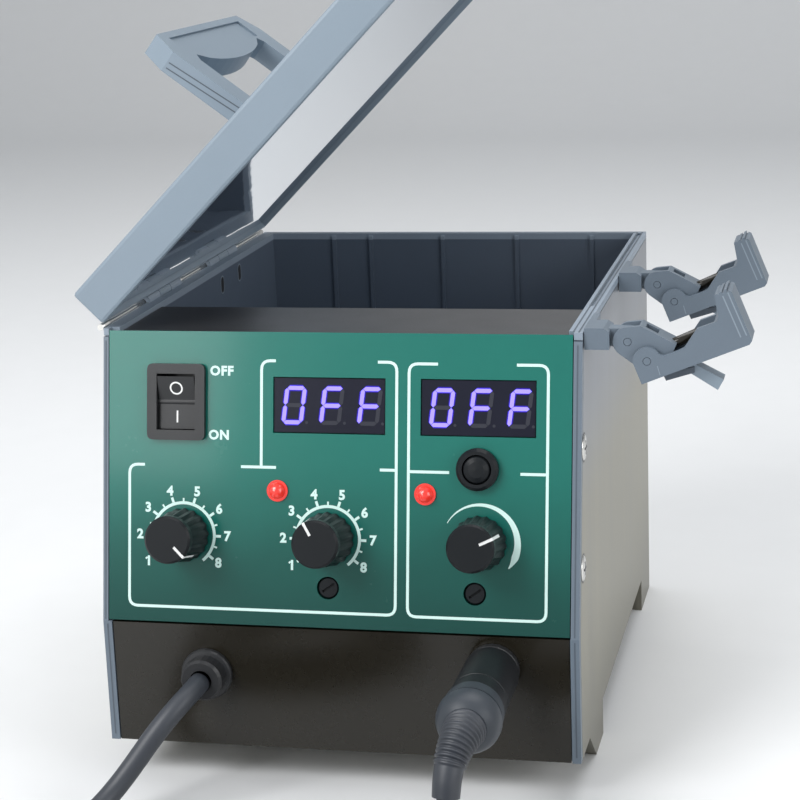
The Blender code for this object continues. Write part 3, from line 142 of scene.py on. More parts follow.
def unevenness_group():
    """With n as the sum of both noises less 1, the colour out is the colour times (1 + shade * n), and the
    roughness out is the roughness plus spread * n. The height out is the fine noise alone."""
    group = bpy.data.node_groups.new("Unevenness", "ShaderNodeTree")
    for name, kind in (
        ("Colour", "NodeSocketColor"),
        ("Shade", "NodeSocketFloat"),
        ("Roughness", "NodeSocketFloat"),
        ("Roughness Spread", "NodeSocketFloat"),
        ("Scale", "NodeSocketFloat"),
        ("Stretch", "NodeSocketVector"),
    ):
        group.interface.new_socket(name, in_out="INPUT", socket_type=kind)
    for name, kind in (
        ("Colour", "NodeSocketColor"),
        ("Roughness", "NodeSocketFloat"),
        ("Height", "NodeSocketFloat"),
    ):
        group.interface.new_socket(name, in_out="OUTPUT", socket_type=kind)
    nodes, links = group.nodes, group.links
    enter = nodes.new("NodeGroupInput")
    leave = nodes.new("NodeGroupOutput")
    place_on = nodes.new("ShaderNodeTexCoord")
    stretch = nodes.new("ShaderNodeVectorMath")
    stretch.operation = "MULTIPLY"
    links.new(place_on.outputs["Object"], stretch.inputs[0])
    links.new(enter.outputs["Stretch"], stretch.inputs[1])
    fine = nodes.new("ShaderNodeTexNoise")
    fine.inputs["Detail"].default_value = 3
    links.new(stretch.outputs[0], fine.inputs["Vector"])
    links.new(enter.outputs["Scale"], fine.inputs["Scale"])
    broad = nodes.new("ShaderNodeTexNoise")
    broad.inputs["Detail"].default_value = 2
    broad.inputs["Scale"].default_value = 60
    links.new(stretch.outputs[0], broad.inputs["Vector"])
    both = maths(group, "ADD", fine.outputs["Fac"], broad.outputs["Fac"])
    centred = maths(group, "SUBTRACT", both, 1.0)
    shade = maths(group, "MULTIPLY_ADD", centred, enter.outputs["Shade"], 1.0)
    tint = nodes.new("ShaderNodeVectorMath")
    tint.operation = "SCALE"
    links.new(enter.outputs["Colour"], tint.inputs[0])
    links.new(shade, tint.inputs["Scale"])
    links.new(tint.outputs[0], leave.inputs["Colour"])
    rough = maths(group, "MULTIPLY_ADD", centred, enter.outputs["Roughness Spread"],
                  enter.outputs["Roughness"])
    rough.node.use_clamp = True
    links.new(rough, leave.inputs["Roughness"])
    links.new(fine.outputs["Fac"], leave.inputs["Height"])
    return group


UNEVEN = unevenness_group()


def finish(name, colour, roughness, metallic=0.0, shade=0.1, spread=0.1, scale=900, stretch=(1, 1, 1),
           relief=0.0, coat=0.0, coat_roughness=0.05, glow=0.0, specular=0.5):
    """A material: the colour and roughness vary by shade and spread, relief is the height of its grain in
    metres, and glow is how strongly it shines in its own colour."""
    made = bpy.data.materials.new(name)
    made.use_nodes = True
    nodes, links = made.node_tree.nodes, made.node_tree.links
    shader = nodes["Principled BSDF"]
    uneven = nodes.new("ShaderNodeGroup")
    uneven.node_tree = UNEVEN
    uneven.inputs["Colour"].default_value = (*colour, 1)
    uneven.inputs["Shade"].default_value = shade
    uneven.inputs["Roughness"].default_value = roughness
    uneven.inputs["Roughness Spread"].default_value = spread
    uneven.inputs["Scale"].default_value = scale
    uneven.inputs["Stretch"].default_value = stretch
    links.new(uneven.outputs["Colour"], shader.inputs["Base Color"])
    links.new(uneven.outputs["Roughness"], shader.inputs["Roughness"])
    shader.inputs["Metallic"].default_value = metallic
    shader.inputs["Coat Weight"].default_value = coat
    shader.inputs["Coat Roughness"].default_value = coat_roughness
    shader.inputs["Specular IOR Level"].default_value = specular
    if relief:
        bump = nodes.new("ShaderNodeBump")
        bump.inputs["Strength"].default_value = 1.0
        bump.inputs["Distance"].default_value = relief
        links.new(uneven.outputs["Height"], bump.inputs["Height"])
        links.new(bump.outputs["Normal"], shader.inputs["Normal"])
    if glow:
        links.new(uneven.outputs["Colour"], shader.inputs["Emission Color"])
        shader.inputs["Emission Strength"].default_value = glow
    return made


def tinted(made, colour, low, high, axis="Z"):
    """The material turns from its colour so far to another between two places along an axis of the
    object. Sockets 6 and 7 of the mix are its two colours, and its output 2 is their mix."""
    nodes, links = made.node_tree.nodes, made.node_tree.links
    uneven = next(node for node in nodes if node.type == "GROUP")
    place_on = nodes.new("ShaderNodeTexCoord")
    parts = nodes.new("ShaderNodeSeparateXYZ")
    links.new(place_on.outputs["Object"], parts.inputs[0])
    rise = nodes.new("ShaderNodeMapRange")
    rise.interpolation_type = "SMOOTHSTEP"
    rise.inputs["From Min"].default_value = low
    rise.inputs["From Max"].default_value = high
    links.new(parts.outputs[axis], rise.inputs["Value"])
    mix = nodes.new("ShaderNodeMix")
    mix.data_type = "RGBA"
    if uneven.inputs["Colour"].is_linked:
        links.new(uneven.inputs["Colour"].links[0].from_socket, mix.inputs[6])
    mix.inputs[6].default_value = uneven.inputs["Colour"].default_value[:]
    mix.inputs[7].default_value = (*colour, 1)
    links.new(rise.outputs["Result"], mix.inputs[0])
    links.new(mix.outputs[2], uneven.inputs["Colour"])
    return made


SLATE = finish("slate plastic", (0.215, 0.270, 0.325), 0.42, shade=0.06, scale=1800, relief=0.00001)
# The same slate plastic, painted darker as shade, for the tool rests, their pins and the frame round the
# panel.
SHADED_SLATE = finish("slate plastic in painted shade", (0.125, 0.160, 0.200), 0.40, shade=0.08, scale=1800,
                    relief=0.00001)
TRAY = finish("tray plastic", (0.085, 0.110, 0.148), 0.45, shade=0.08, scale=1600, relief=0.00001)
tinted(TRAY, (0.24, 0.29, 0.35), RIM_HEIGHT - 0.0027, RIM_HEIGHT - 0.0023)
# Painted shade: the dark of grooves and channels, and of the lever under each tool rest.
GROOVE_SHADE = finish("groove shade", (0.070, 0.090, 0.115), 0.5, shade=0.10, scale=1600)
# Painted highlight: pale lines for lit edges, round the wall slots and on the cheeks of the tool rests.
EDGE_HIGHLIGHT = finish("painted edge highlight", (0.24, 0.29, 0.34), 0.35, shade=0.06, scale=1500)
LINER = finish("mirror liner", (0.42, 0.48, 0.55), 0.03, metallic=0.95, shade=0.03, spread=0.02,
               scale=9, relief=0.0004, coat=0.3, coat_roughness=0.02)
GREEN = finish("green lacquer", (0.003, 0.052, 0.043), 0.26, shade=0.05, spread=0.04, scale=300,
               coat=0.25, coat_roughness=0.10, specular=0.2)
# Painted light and shade: the one green lacquer turns from dark at the bottom of the panel to lighter at its
# top.
tinted(GREEN, (0.010, 0.148, 0.118), 0.050, 0.120)
BLACK_GLOSS = finish("black gloss", (0.014, 0.012, 0.008), 0.17, shade=0.2, spread=0.04, scale=300,
                     coat=0.2, coat_roughness=0.12, specular=0.3)
CASE = finish("case metal", (0.165, 0.157, 0.128), 0.38, metallic=0.7, shade=0.50, spread=0.12, scale=700,
              stretch=(1, 1, 0.02))
# Painted reflection: the case metal is darker at the bottom, beige below the middle and bluish above it.
tinted(CASE, (0.285, 0.272, 0.220), -0.020, 0.055)
tinted(CASE, (0.256, 0.270, 0.295), 0.088, 0.134)
SHELF = finish("shelf black", (0.028, 0.028, 0.030), 0.38, shade=0.15, spread=0.08, scale=1400,
               relief=0.000008)
BLACK = finish("black plastic", (0.019, 0.020, 0.022), 0.36, shade=0.12, scale=1600, relief=0.000008,
               specular=0.38)
DARK_KNOB = finish("knob black", (0.011, 0.013, 0.015), 0.32, shade=0.12, scale=1600, relief=0.000006,
                   specular=0.14)
WINDOW = finish("display window", (0.010, 0.011, 0.022), 0.25, shade=0.2, spread=0.04, scale=200,
                coat=0.06, coat_roughness=0.10, specular=0.14)
RED = finish("red lens", (0.72, 0.028, 0.018), 0.15, shade=0.15, spread=0.04, scale=400, coat=0.6,
             glow=0.35)
STEEL = finish("bright steel", (0.66, 0.65, 0.62), 0.22, metallic=1.0, shade=0.06, spread=0.10, scale=500)
BOARD = finish("board green", (0.03, 0.16, 0.06), 0.35, shade=0.25, spread=0.1, scale=900)
CORE = finish("core steel", (0.18, 0.18, 0.19), 0.5, metallic=0.6, shade=0.2, scale=1200,
              stretch=(0.05, 1, 1))
SINK = finish("sink metal", (0.6, 0.6, 0.62), 0.35, metallic=1.0, shade=0.08, scale=900,
              stretch=(1, 0.05, 1))
RUBBER = finish("cord rubber", (0.032, 0.037, 0.047), 0.46, shade=0.15, scale=1500, relief=0.00001)
GRIP = finish("blue grip", (0.03, 0.08, 0.25), 0.5, shade=0.12, scale=1500, relief=0.00002)
PRINT = finish("pale print", (0.62, 0.84, 0.79), 0.5, shade=0.06, scale=2500)
WHITE = finish("white mark", (0.82, 0.83, 0.82), 0.5, shade=0.06, scale=2500)
SEGMENT = finish("lit segment", (0.25, 0.20, 0.98), 0.5, shade=0.08, scale=400, glow=0.85,
                 specular=0.1)
HALO = finish("segment halo", (0.020, 0.010, 0.26), 0.5, shade=0.08, scale=400, glow=0.5,
              specular=0.1)
DIM_SEGMENT = finish("unlit segment", (0.040, 0.042, 0.055), 0.4, shade=0.1, scale=400, specular=0.1)

BY_SLOT = {
    "slate_plastic": SLATE, "tray_plastic": TRAY, "mirror_liner": LINER, "green_lacquer": GREEN,
    "black_gloss": BLACK_GLOSS, "case_metal": CASE, "shelf_black": SHELF, "black_plastic": BLACK,
    "display_window": WINDOW, "red_lens": RED, "bright_steel": STEEL, "board_green": BOARD,
    "core_steel": CORE, "sink_metal": SINK, "cord_rubber": RUBBER, "blue_grip": GRIP,
}
slot_of = {s["node"]: s["material_slot"] for s in frame["record"]["subparts"]}
for name, node in frame["nodes"].items():
    node.data.materials.clear()
    # Rests, pins and the front frame take the slate painted darker as shade.
    in_shade = name.startswith(("rest_", "link_pin", "cradle_pin", "front_frame"))
    knob = name.startswith(("knob_", "set_button_", "cal_trimmer_"))
    socket = name == "iron_socket"
    node.data.materials.append(
        SHADED_SLATE if in_shade else DARK_KNOB if knob else BLACK if socket else BY_SLOT[slot_of[name]]
    )
print(len(BY_SLOT), "slots finished")

# %% [markdown]
# ## Building surfaces from grids
#
# A grid surface is a table of points: its rows run one way over the surface and its columns the other.
# `grid_faces` makes the faces between neighbours and can close either way round.


# %%
def new_piece(name, points, faces, material, body, smooth=True):
    """A mesh from a table of points and its faces, carried by one body of the model. smooth is one answer
    for all faces or one for each."""
    mesh = bpy.data.meshes.new(name)
    mesh.from_pydata(points.reshape(-1, 3).tolist(), [], list(map(list, faces)))
    mesh.polygons.foreach_set("use_smooth", np.full(len(faces), smooth))
    mesh.materials.append(material)
    piece = bpy.data.objects.new(name, mesh)
    bpy.context.scene.collection.objects.link(piece)
    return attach(piece, body)


def grid_faces(rows, columns, close_rows=False, close_columns=False, first=0):
    """Quads between neighbouring points of a table, row after row. Counting starts at first."""
    r = np.arange(rows if close_rows else rows - 1)
    c = np.arange(columns if close_columns else columns - 1)
    r, c = (a.ravel() for a in np.meshgrid(r, c, indexing="ij"))
    below, beside = (r + 1) % rows, (c + 1) % columns
    quads = [r * columns + c, r * columns + beside, below * columns + beside, below * columns + c]
    return first + np.stack(quads, axis=1)


def smooth_line(route, spacing=0.002):
    """A Catmull-Rom curve through the route, as points about spacing apart: between two points of the
    route it is the cubic whose slope at each is half the step between that point's neighbours."""
    p = np.asarray(route, float)
    p = np.vstack([2 * p[0] - p[1], p, 2 * p[-1] - p[-2]])
    parts = []
    for a, b, c, d in zip(p[:-3], p[1:-2], p[2:-1], p[3:]):
        count = max(2, round(np.linalg.norm(c - b) / spacing))
        t = np.linspace(0, 1, count, endpoint=False)[:, None]
        parts.append(0.5 * (2 * b + (c - a) * t + (2 * a - 5 * b + 4 * c - d) * t ** 2
                            + (3 * b - a - 3 * c + d) * t ** 3))
    return np.vstack([*parts, p[-2:-1]])


def even_line(line, spacing):
    """The same line with its points an equal distance apart."""
    steps = np.linalg.norm(np.diff(line, axis=0), axis=1)
    along = np.concatenate([[0], np.cumsum(steps)])
    at = np.linspace(0, along[-1], max(2, round(along[-1] / spacing)))
    return np.stack([np.interp(at, along, line[:, k]) for k in range(3)], axis=1)


def tube_points(line, radii, sides):
    """A ring of points round each point of a line. The ring's two directions are carried along the line
    without twist: each new one is the last one with its part along the line taken out."""
    ahead = np.gradient(line, axis=0)
    ahead /= np.linalg.norm(ahead, axis=1, keepdims=True)
    side = np.cross(ahead[0], [0.31, 0.22, 0.93])
    sides_along = []
    for direction in ahead:
        side = side - direction * side.dot(direction)
        side = side / np.linalg.norm(side)
        sides_along.append(side)
    first = np.array(sides_along)
    second = np.cross(ahead, first)
    turn = np.linspace(0, 2 * np.pi, sides, endpoint=False)[None, :, None]
    ring = np.cos(turn) * first[:, None] + np.sin(turn) * second[:, None]
    return line[:, None] + ring * np.broadcast_to(radii, len(line))[:, None, None]


def tube_piece(name, line, radii, material, body, sides=18):
    """A closed tube along a line, with a flat cap at each end."""
    rings = tube_points(line, radii, sides)
    count = len(line)
    points = np.vstack([rings.reshape(-1, 3), line[:1], line[-1:]])
    walls = grid_faces(count, sides, close_columns=True)
    k = np.arange(sides)
    after = (k + 1) % sides
    start = np.stack([np.full(sides, count * sides), after, k], axis=1)
    last = (count - 1) * sides
    end = np.stack([np.full(sides, count * sides + 1), last + k, last + after], axis=1)
    faces = walls.tolist() + start.tolist() + end.tolist()
    return new_piece(name, points, faces, material, body, np.arange(len(faces)) < len(walls))


def turned_piece(name, profile, place_points, material, body, sides=48, ripple=None):
    """A profile of (radius, height) points turned about its axis. place_points puts (x, y, height) into the
    model. ripple(angle, height) scales the radius, for flutes."""
    profile = np.asarray(profile, float)
    turn = np.linspace(0, 2 * np.pi, sides, endpoint=False)[None, :]
    radius = profile[:, :1] * (ripple(turn, profile[:, 1:]) if ripple else 1)
    height = profile[:, 1:] + 0 * turn
    table = np.stack([radius * np.cos(turn), radius * np.sin(turn), height], axis=-1)
    faces = grid_faces(*table.shape[:2], close_columns=True)[:, ::-1]
    piece = new_piece(name, place_points(table), faces, material, body)
    piece.data.set_sharp_from_angle(angle=math.radians(32))
    return piece


# %% [markdown]
# ## The two cords
#
# A cord keeps its length: it leaves its gland or plug, drops to the bench, lies in a coil and ends in its
# tool. Inside the coil each turn keeps its own distance from the middle and its own height, and `eased`
# moves from one turn to the next.


# %%
def eased(knots, at):
    """Values at the given angles between (angle, value) knots, along a curve that starts and ends level."""
    angle, value = np.array(knots, float).T
    k = np.clip(np.searchsorted(angle, at, side="right") - 1, 0, len(angle) - 2)
    t = np.clip((at - angle[k]) / (angle[k + 1] - angle[k]), 0, 1)
    return value[k] + (value[k + 1] - value[k]) * t * t * (3 - 2 * t)


def coil_line(middle, way, radii, heights):
    """A line round a middle: at each angle its distance from the middle and its height are eased between
    knots. way is 1 for turns that run against the clock from above and -1 for the others."""
    at = np.arange(radii[0][0], radii[-1][0], 3.0)
    turn = np.radians(at) * way
    r = eased(radii, at)
    return np.stack([middle[0] + r * np.cos(turn), middle[1] + r * np.sin(turn), eased(heights, at)],
                    axis=1)


def whole_line(lead, coil, tail, spacing):
    """Lead, coil and tail as one line of even points. Six times each point becomes a quarter of the one
    before, half of itself and a quarter of the one after, and the points are made even again."""
    line = np.vstack([smooth_line(lead)[:-1], coil, smooth_line(tail)[1:]])
    line = even_line(line, spacing)
    soft = line.copy()
    for _ in range(6):
        soft[1:-1] = (soft[:-2] + 2 * soft[1:-1] + soft[2:]) / 4
    return even_line(soft, spacing)


AIR_RADIUS = 0.0035
AIR_LEAD = [
    (-0.0452, -0.0085, 0.0388), (-0.0460, -0.0140, 0.0380), (-0.0490, -0.0200, 0.0350),
    (-0.0530, -0.0245, 0.0305), (-0.0575, -0.0285, 0.0245), (-0.0620, -0.0325, 0.0180),
    (-0.0665, -0.0370, 0.0120), (-0.0710, -0.0430, 0.0072), (-0.0750, -0.0510, 0.0044),
    (-0.0785, -0.0610, 0.0036), (-0.0818, -0.0730, 0.0036), (-0.0848, -0.0870, 0.0036),
    (-0.0870, -0.1020, 0.0036), (-0.0882, -0.1180, 0.0036),
]
AIR_TAIL = [
    (-0.0875, -0.1300, 0.0112), (-0.0890, -0.1480, 0.0056), (-0.0895, -0.1680, 0.0040),
    (-0.0875, -0.1860, 0.0060), (-0.0820, -0.2020, 0.0098), (-0.0715, -0.2140, 0.0142),
    (-0.0570, -0.2205, 0.0174), (-0.0405, -0.2220, 0.0185),
]
air_coil = coil_line(
    (-0.042, -0.122), 1,
    [(175, 0.0464), (260, 0.0385), (535, 0.0385), (620, 0.0313), (1150, 0.0313), (1210, 0.0385),
     (1510, 0.0385), (1570, 0.0453), (1628, 0.0461)],
    [(175, 0.0036), (850, 0.0036), (910, 0.0107), (1570, 0.0109), (1628, 0.0112)],
)
air_line = ROW + whole_line(AIR_LEAD, air_coil, AIR_TAIL, 0.0022)

IRON_RADIUS = 0.0029
BOOT_ROUTE = [
    (0.0528, -0.0500, 0.0448), (0.0526, -0.0522, 0.0446), (0.0521, -0.0550, 0.0438),
    (0.0512, -0.0585, 0.0418), (0.0503, -0.0617, 0.0384), (0.0497, -0.0640, 0.0340),
    (0.0494, -0.0654, 0.0290),
]
IRON_LEAD = [
    (0.0495, -0.0647, 0.0315), (0.0494, -0.0666, 0.0255), (0.0497, -0.0703, 0.0190),
    (0.0500, -0.0743, 0.0138),
    (0.0508, -0.0785, 0.0095), (0.0532, -0.0840, 0.0052), (0.0575, -0.0888, 0.0034),
    (0.0635, -0.0918, 0.0031), (0.0705, -0.0930, 0.0031),
]
IRON_TAIL = [
    (0.1064, -0.1370, 0.0088), (0.1074, -0.1480, 0.0046), (0.1072, -0.1590, 0.0034),
    (0.1052, -0.1690, 0.0042), (0.1010, -0.1780, 0.0062), (0.0940, -0.1850, 0.0088),
    (0.0835, -0.1880, 0.0105),
]
iron_coil = coil_line(
    (0.064, -0.135), -1,
    [(-80, 0.0425), (-11, 0.0355), (279, 0.0355), (349, 0.0296), (879, 0.0296), (929, 0.0355),
     (1239, 0.0355), (1289, 0.0416), (1442, 0.0425)],
    [(-80, 0.0031), (579, 0.0031), (629, 0.0091), (1239, 0.0091), (1300, 0.0068), (1345, 0.0094),
     (1400, 0.0094), (1442, 0.0088)],
)
iron_line = ROW + whole_line(IRON_LEAD, iron_coil, IRON_TAIL, 0.0020)


def line_length(line):
    """The sum of the distances from each point to the next."""
    return float(np.linalg.norm(np.diff(line, axis=0), axis=1).sum())


# %% [markdown]
# Each cord ends in a tool that lies on the bench. Its grip is a tube on a straight line, with its radius
# read from a few knots and rounded by averaging.

# %%
AIR_TOOL_AT = np.array([-0.040, -0.2220, 0.0185])
IRON_TOOL_AT = np.array([0.083, -0.1880, 0.0105])
AIR_GRIP = [
    (0.2, 6.0), (4, 7.5), (10, 15.0), (18, 17.0), (35, 16.5), (70, 15.0), (100, 16.0), (118, 18.0),
    (132, 16.5), (138, 12.5),
]
IRON_GRIP = [
    (0.2, 4.5), (2, 5.0), (8, 7.2), (18, 8.0), (45, 7.0), (74, 7.8), (86, 10.0), (98, 9.8), (104, 7.8),
]


def grip_piece(name, start, way, knots, ribbed, material):
    """A grip along X from start, with way as 1 or -1. Its radius runs through (distance, radius) knots in
    millimetres, averaged over 13 steps, less a ripple of 0.5 mm every 5 mm between the two places of
    ribbed."""
    distance, radius = np.array(knots, float).T * MM
    at = np.linspace(distance[0], distance[-1], 300)
    knotted = np.interp(at, distance, radius)
    rounded = np.convolve(np.pad(knotted, 6, mode="edge"), np.ones(13) / 13, mode="valid")
    wave = 0.5 - 0.5 * np.cos((at - ribbed[0]) / 0.005 * 2 * np.pi)
    ripple = 0.0005 * wave * ((at > ribbed[0]) & (at < ribbed[1]))
    line = start + np.stack([way * at, 0 * at, 0 * at], axis=1)
    return tube_piece(name, line, rounded - ripple, material, "case", sides=56)


air_grip = grip_piece("air_grip", ROW + AIR_TOOL_AT, 1, AIR_GRIP, (0.040, 0.090), BLACK)
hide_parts("air_handpiece")
iron_grip = grip_piece("iron_grip", ROW + IRON_TOOL_AT, -1, IRON_GRIP, (0.030, 0.060), GRIP)
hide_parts("iron_handle")
print("two grips turned")

# %% [markdown]
# The cords themselves are tubes along their lines.

# %%
air_cord = tube_piece("air_cord_run", air_line, AIR_RADIUS, RUBBER, "case")
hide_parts("air_cord", "air_cord_coil", "air_cord_end")
iron_cord = tube_piece("iron_cord_run", iron_line, IRON_RADIUS, RUBBER, "case")
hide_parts("iron_cord", "iron_cord_coil", "iron_cord_end")
print("air cord", round(line_length(air_line), 3), "m; iron cord", round(line_length(iron_line), 3), "m")

# %% [markdown]
# The boot of the plug is a tube along its own short route. Its radius falls towards the cord, and a ripple
# in it makes the ribs.

# %%
boot_line = ROW + even_line(smooth_line(BOOT_ROUTE, 0.0005), 0.00016)
boot_at = np.linspace(0, 1, len(boot_line))
ribs = 0.5 + 0.5 * np.cos(boot_at * 2 * np.pi * 18)
in_ribs = (boot_at > 0.03) & (boot_at < 0.60)
outer = np.interp(boot_at, (0, 0.60, 0.63, 1), (0.0068, 0.0051, 0.0046, 0.0043))
boot_radii = outer - 0.0007 * np.clip(ribs * 1.6 - 0.3, 0, 1) * in_ribs
boot = tube_piece("plug_boot_ribbed", boot_line, boot_radii, RUBBER, "case", sides=24)
print(len(boot_line), "rings in the boot")

# %% [markdown]
# The plug's body is turned from one profile: a barrel, a band, a collar and a cone that takes the boot.

# %%
PLUG_PROFILE = np.array([
    (0.01, 0.1), (8.5, 0.1), (9.2, 0.8), (9.3, 24.0), (8.9, 24.3), (8.9, 24.5), (9.4, 24.8), (9.5, 31.4),
    (9.1, 31.7), (9.1, 31.9), (9.8, 32.3), (10.2, 38.0), (9.2, 38.2), (9.2, 38.9), (10.4, 39.2),
    (10.3, 41.4), (9.6, 43.6), (8.4, 45.6), (6.8, 46.8), (0.01, 46.8),
]) * MM
PLUG_SEAT = (0.0528, 0.0448, 0.0035)


def on_plug(points):
    """Points (across, up, out of the front) about the axis of the plug."""
    return on_front(points + PLUG_SEAT)


PLUG_TWO_TONE = finish("plug black and grey", (0.040, 0.047, 0.057), 0.42, shade=0.12, scale=1600,
                       relief=0.000008, specular=0.3)
collar_at = float(on_plug(np.array([0, 0, 0.0318]))[1])
tinted(PLUG_TWO_TONE, (0.010, 0.011, 0.013), collar_at - 0.0001, collar_at + 0.0001, axis="Y")
plug_body = turned_piece("plug_body", PLUG_PROFILE[::-1], on_plug, PLUG_TWO_TONE, "case",
                         sides=64)
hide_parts("iron_plug")
print(len(PLUG_PROFILE), "points in the profile of the plug")

# %% [markdown]
# ## Prints on the sloping panel
#
# A printed line is a ribbon: two rows of points, half its width to each side of its path, a hair above the
# paint.


# %%
PRINT_HEIGHT = 0.00006


def ribbon(path, width, closed=False):
    """Points and faces of a flat line of a given width in panel measures. The step to each side is the
    path's own direction turned a quarter, lengthened at corners so that the width stays the same."""
    p = np.asarray(path, float)
    before = np.roll(p, 1, axis=0) if closed else np.vstack([2 * p[0] - p[1], p[:-1]])
    after = np.roll(p, -1, axis=0) if closed else np.vstack([p[1:], 2 * p[-1] - p[-2]])
    a, b = p - before, after - p
    a /= np.linalg.norm(a, axis=1, keepdims=True)
    b /= np.linalg.norm(b, axis=1, keepdims=True)
    across = np.stack([-(a + b)[:, 1], (a + b)[:, 0]], axis=1)
    across /= np.linalg.norm(across, axis=1, keepdims=True)
    square = np.stack([-b[:, 1], b[:, 0]], axis=1)
    half = np.asarray(width)[..., None] / 2 / np.maximum((across * square).sum(1), 0.5)[:, None]
    return np.stack([p + across * half, p - across * half], axis=1), closed


def arc_path(centre, radius, start, end, steps=24):
    """Points on a circle, with the angles given as on a clock: 0 at the top and growing to the right."""
    turn = np.radians(np.linspace(start, end, steps))
    return np.stack([centre[0] + radius * np.sin(turn), centre[1] + radius * np.cos(turn)], axis=1)


def rounded_path(corners, radius, steps=6):
    """An open path whose inner corners are quarter curves."""
    c = np.asarray(corners, float)
    out = [c[:1]]
    t = np.linspace(0, 1, steps)[:, None]
    for before, corner, after in zip(c[:-2], c[1:-1], c[2:]):
        start = corner + (before - corner) / np.linalg.norm(before - corner) * radius
        end = corner + (after - corner) / np.linalg.norm(after - corner) * radius
        out.append(start * (1 - t) ** 2 + 2 * corner * t * (1 - t) + end * t ** 2)
    return np.vstack([*out, c[-1:]])


def flat_piece(name, parts, material, body, height=PRINT_HEIGHT, place_points=on_panel):
    """All ribbons and shapes of parts as one piece. Each part is (table of points, closed or not)."""
    points, faces, first = [], [], 0
    for table, closed in parts:
        rows, columns = table.shape[:2]
        lifted = np.concatenate([table, np.full((rows, columns, 1), height)], axis=-1)
        points.append(lifted.reshape(-1, 3))
        faces.append(grid_faces(rows, columns, close_rows=closed, first=first))
        first += rows * columns
    return new_piece(name, place_points(np.vstack(points)), np.vstack(faces), material, body,
                     smooth=False)


LINE = 0.95 * MM
DIALS = ((-52.7, 30.1), (-2.7, 30.2))
DIAL_START = -127
DIAL_SWEEP = 254
NUMBER_RADIUS = 15.3


def box_outline(left, right_edge, low, high, gap):
    """A rounded box whose top is open between the two ends of gap, all in millimetres."""
    corners = [(gap[1], high), (right_edge, high), (right_edge, low), (left, low), (left, high),
               (gap[0], high)]
    return rounded_path(np.array(corners) * MM, 3 * MM)


lines = [
    ribbon(rounded_path(np.array([(-66.4, 53.5), (-71.8, 53.5), (-71.8, 5.7), (20.3, 5.7),
                                  (20.3, 88.9), (13.9, 88.9)]) * MM, 3 * MM), LINE),
    ribbon(np.array([(-32.7, 53.5), (-20.6, 53.5)]) * MM, LINE),
    ribbon(np.array([(14.8, 53.5), (19.8, 53.5)]) * MM, LINE),
    ribbon(rounded_path(np.array([(-25.7, 54.0), (-25.7, 88.9), (-20.8, 88.9)]) * MM, 3 * MM), LINE),
    ribbon(box_outline(24.4, 70.3, 5.5, 88.5, (34.0, 60.0)), LINE),
    ribbon(np.array([(24.9, 53.2), (38.0, 53.2)]) * MM, LINE),
    ribbon(np.array([(61.5, 53.2), (69.8, 53.2)]) * MM, LINE),
]
for at in DIALS:
    centre = np.array(at) * MM
    lines.append(ribbon(arc_path(centre, 10.8 * MM, -130, 141, 56), 1.0 * MM))
    x, y = arc_path(at, NUMBER_RADIUS, DIAL_START, 0, 1)[0]
    lines.append(ribbon(np.array([(x - 1.10, y + 0.78), (x - 0.44, y + 1.34)]) * MM, 0.6 * MM))
    for k in range(15):
        angle = DIAL_START + DIAL_SWEEP * k / 14
        end = 13.1 if k % 2 == 0 else 12.4
        tick = np.vstack([arc_path(centre, r * MM, angle, angle, 1) for r in (11.32, end)])
        lines.append(ribbon(tick, (0.9 if k % 2 == 0 else 0.6) * MM))
crescent = arc_path(np.array((48.3, 30.4)) * MM, 12.5 * MM, -60, 130, 56)
lines.append(ribbon(crescent, np.interp(np.linspace(0, 1, 56), (0, 0.90, 1), (0.2, 2.4, 0.3)) * MM))
flat_piece("panel_lines", lines, PRINT, "case")
print(len(lines), "printed lines and ticks")

# %% [markdown]
# Numbers and the two words of the switch come from a built-in typeface. Each is turned to a mesh and laid
# on the panel.


# %%
def letters(name, entries, material, place_points=on_panel, body="case", height=PRINT_HEIGHT,
            bold=0.00019):
    """Each entry is (word, across, up, size, turn): flat letters centred on that place. bold is how far
    their outlines are pushed out."""
    points, faces, first = [], [], 0
    for word, x, y, size, turn in entries:
        text = bpy.data.curves.new(name, "FONT")
        text.body = word
        text.size = size
        text.align_x = "CENTER"
        text.align_y = "CENTER"
        text.resolution_u = 3
        text.offset = bold
        text.space_character = 1.12
        shape = bpy.data.objects.new(name, text)
        bpy.context.scene.collection.objects.link(shape)
        bpy.context.view_layer.update()
        mesh = bpy.data.meshes.new_from_object(
            shape.evaluated_get(bpy.context.evaluated_depsgraph_get())
        )
        bpy.data.objects.remove(shape)
        mesh.calc_loop_triangles()
        co = np.empty(len(mesh.vertices) * 3)
        mesh.vertices.foreach_get("co", co)
        co = co.reshape(-1, 3)
        tri = np.empty(len(mesh.loop_triangles) * 3, int)
        mesh.loop_triangles.foreach_get("vertices", tri)
        spin = np.array([[math.cos(turn), -math.sin(turn)], [math.sin(turn), math.cos(turn)]])
        flat = co[:, :2] @ spin.T + (x, y)
        points.append(np.column_stack([flat, np.full(len(flat), height)]))
        faces.append(tri.reshape(-1, 3) + first)
        first += len(flat)
        bpy.data.meshes.remove(mesh)
    return new_piece(name, place_points(np.vstack(points)), np.vstack(faces), material, body,
                     smooth=False)


entries = [("OFF", -39.5 * MM, 85.2 * MM, 4.3 * MM, 0), ("ON", -40.4 * MM, 63.8 * MM, 4.3 * MM, 0)]
for at in DIALS:
    for k in range(8):
        x, y = arc_path(at, NUMBER_RADIUS, DIAL_START + DIAL_SWEEP * k / 7, 0, 1)[0]
        entries.append((str(k + 1), x * MM, y * MM, 4.4 * MM, 0))
letters("panel_letters", entries, PRINT)
print(len(entries), "numbers and words")

# %% [markdown]
# ## Displays
#
# Three digits of seven bars each. A bar is a flat six-sided shape, drawn as three rows of two points. The
# lit bars glow, and the unlit ones show faintly.

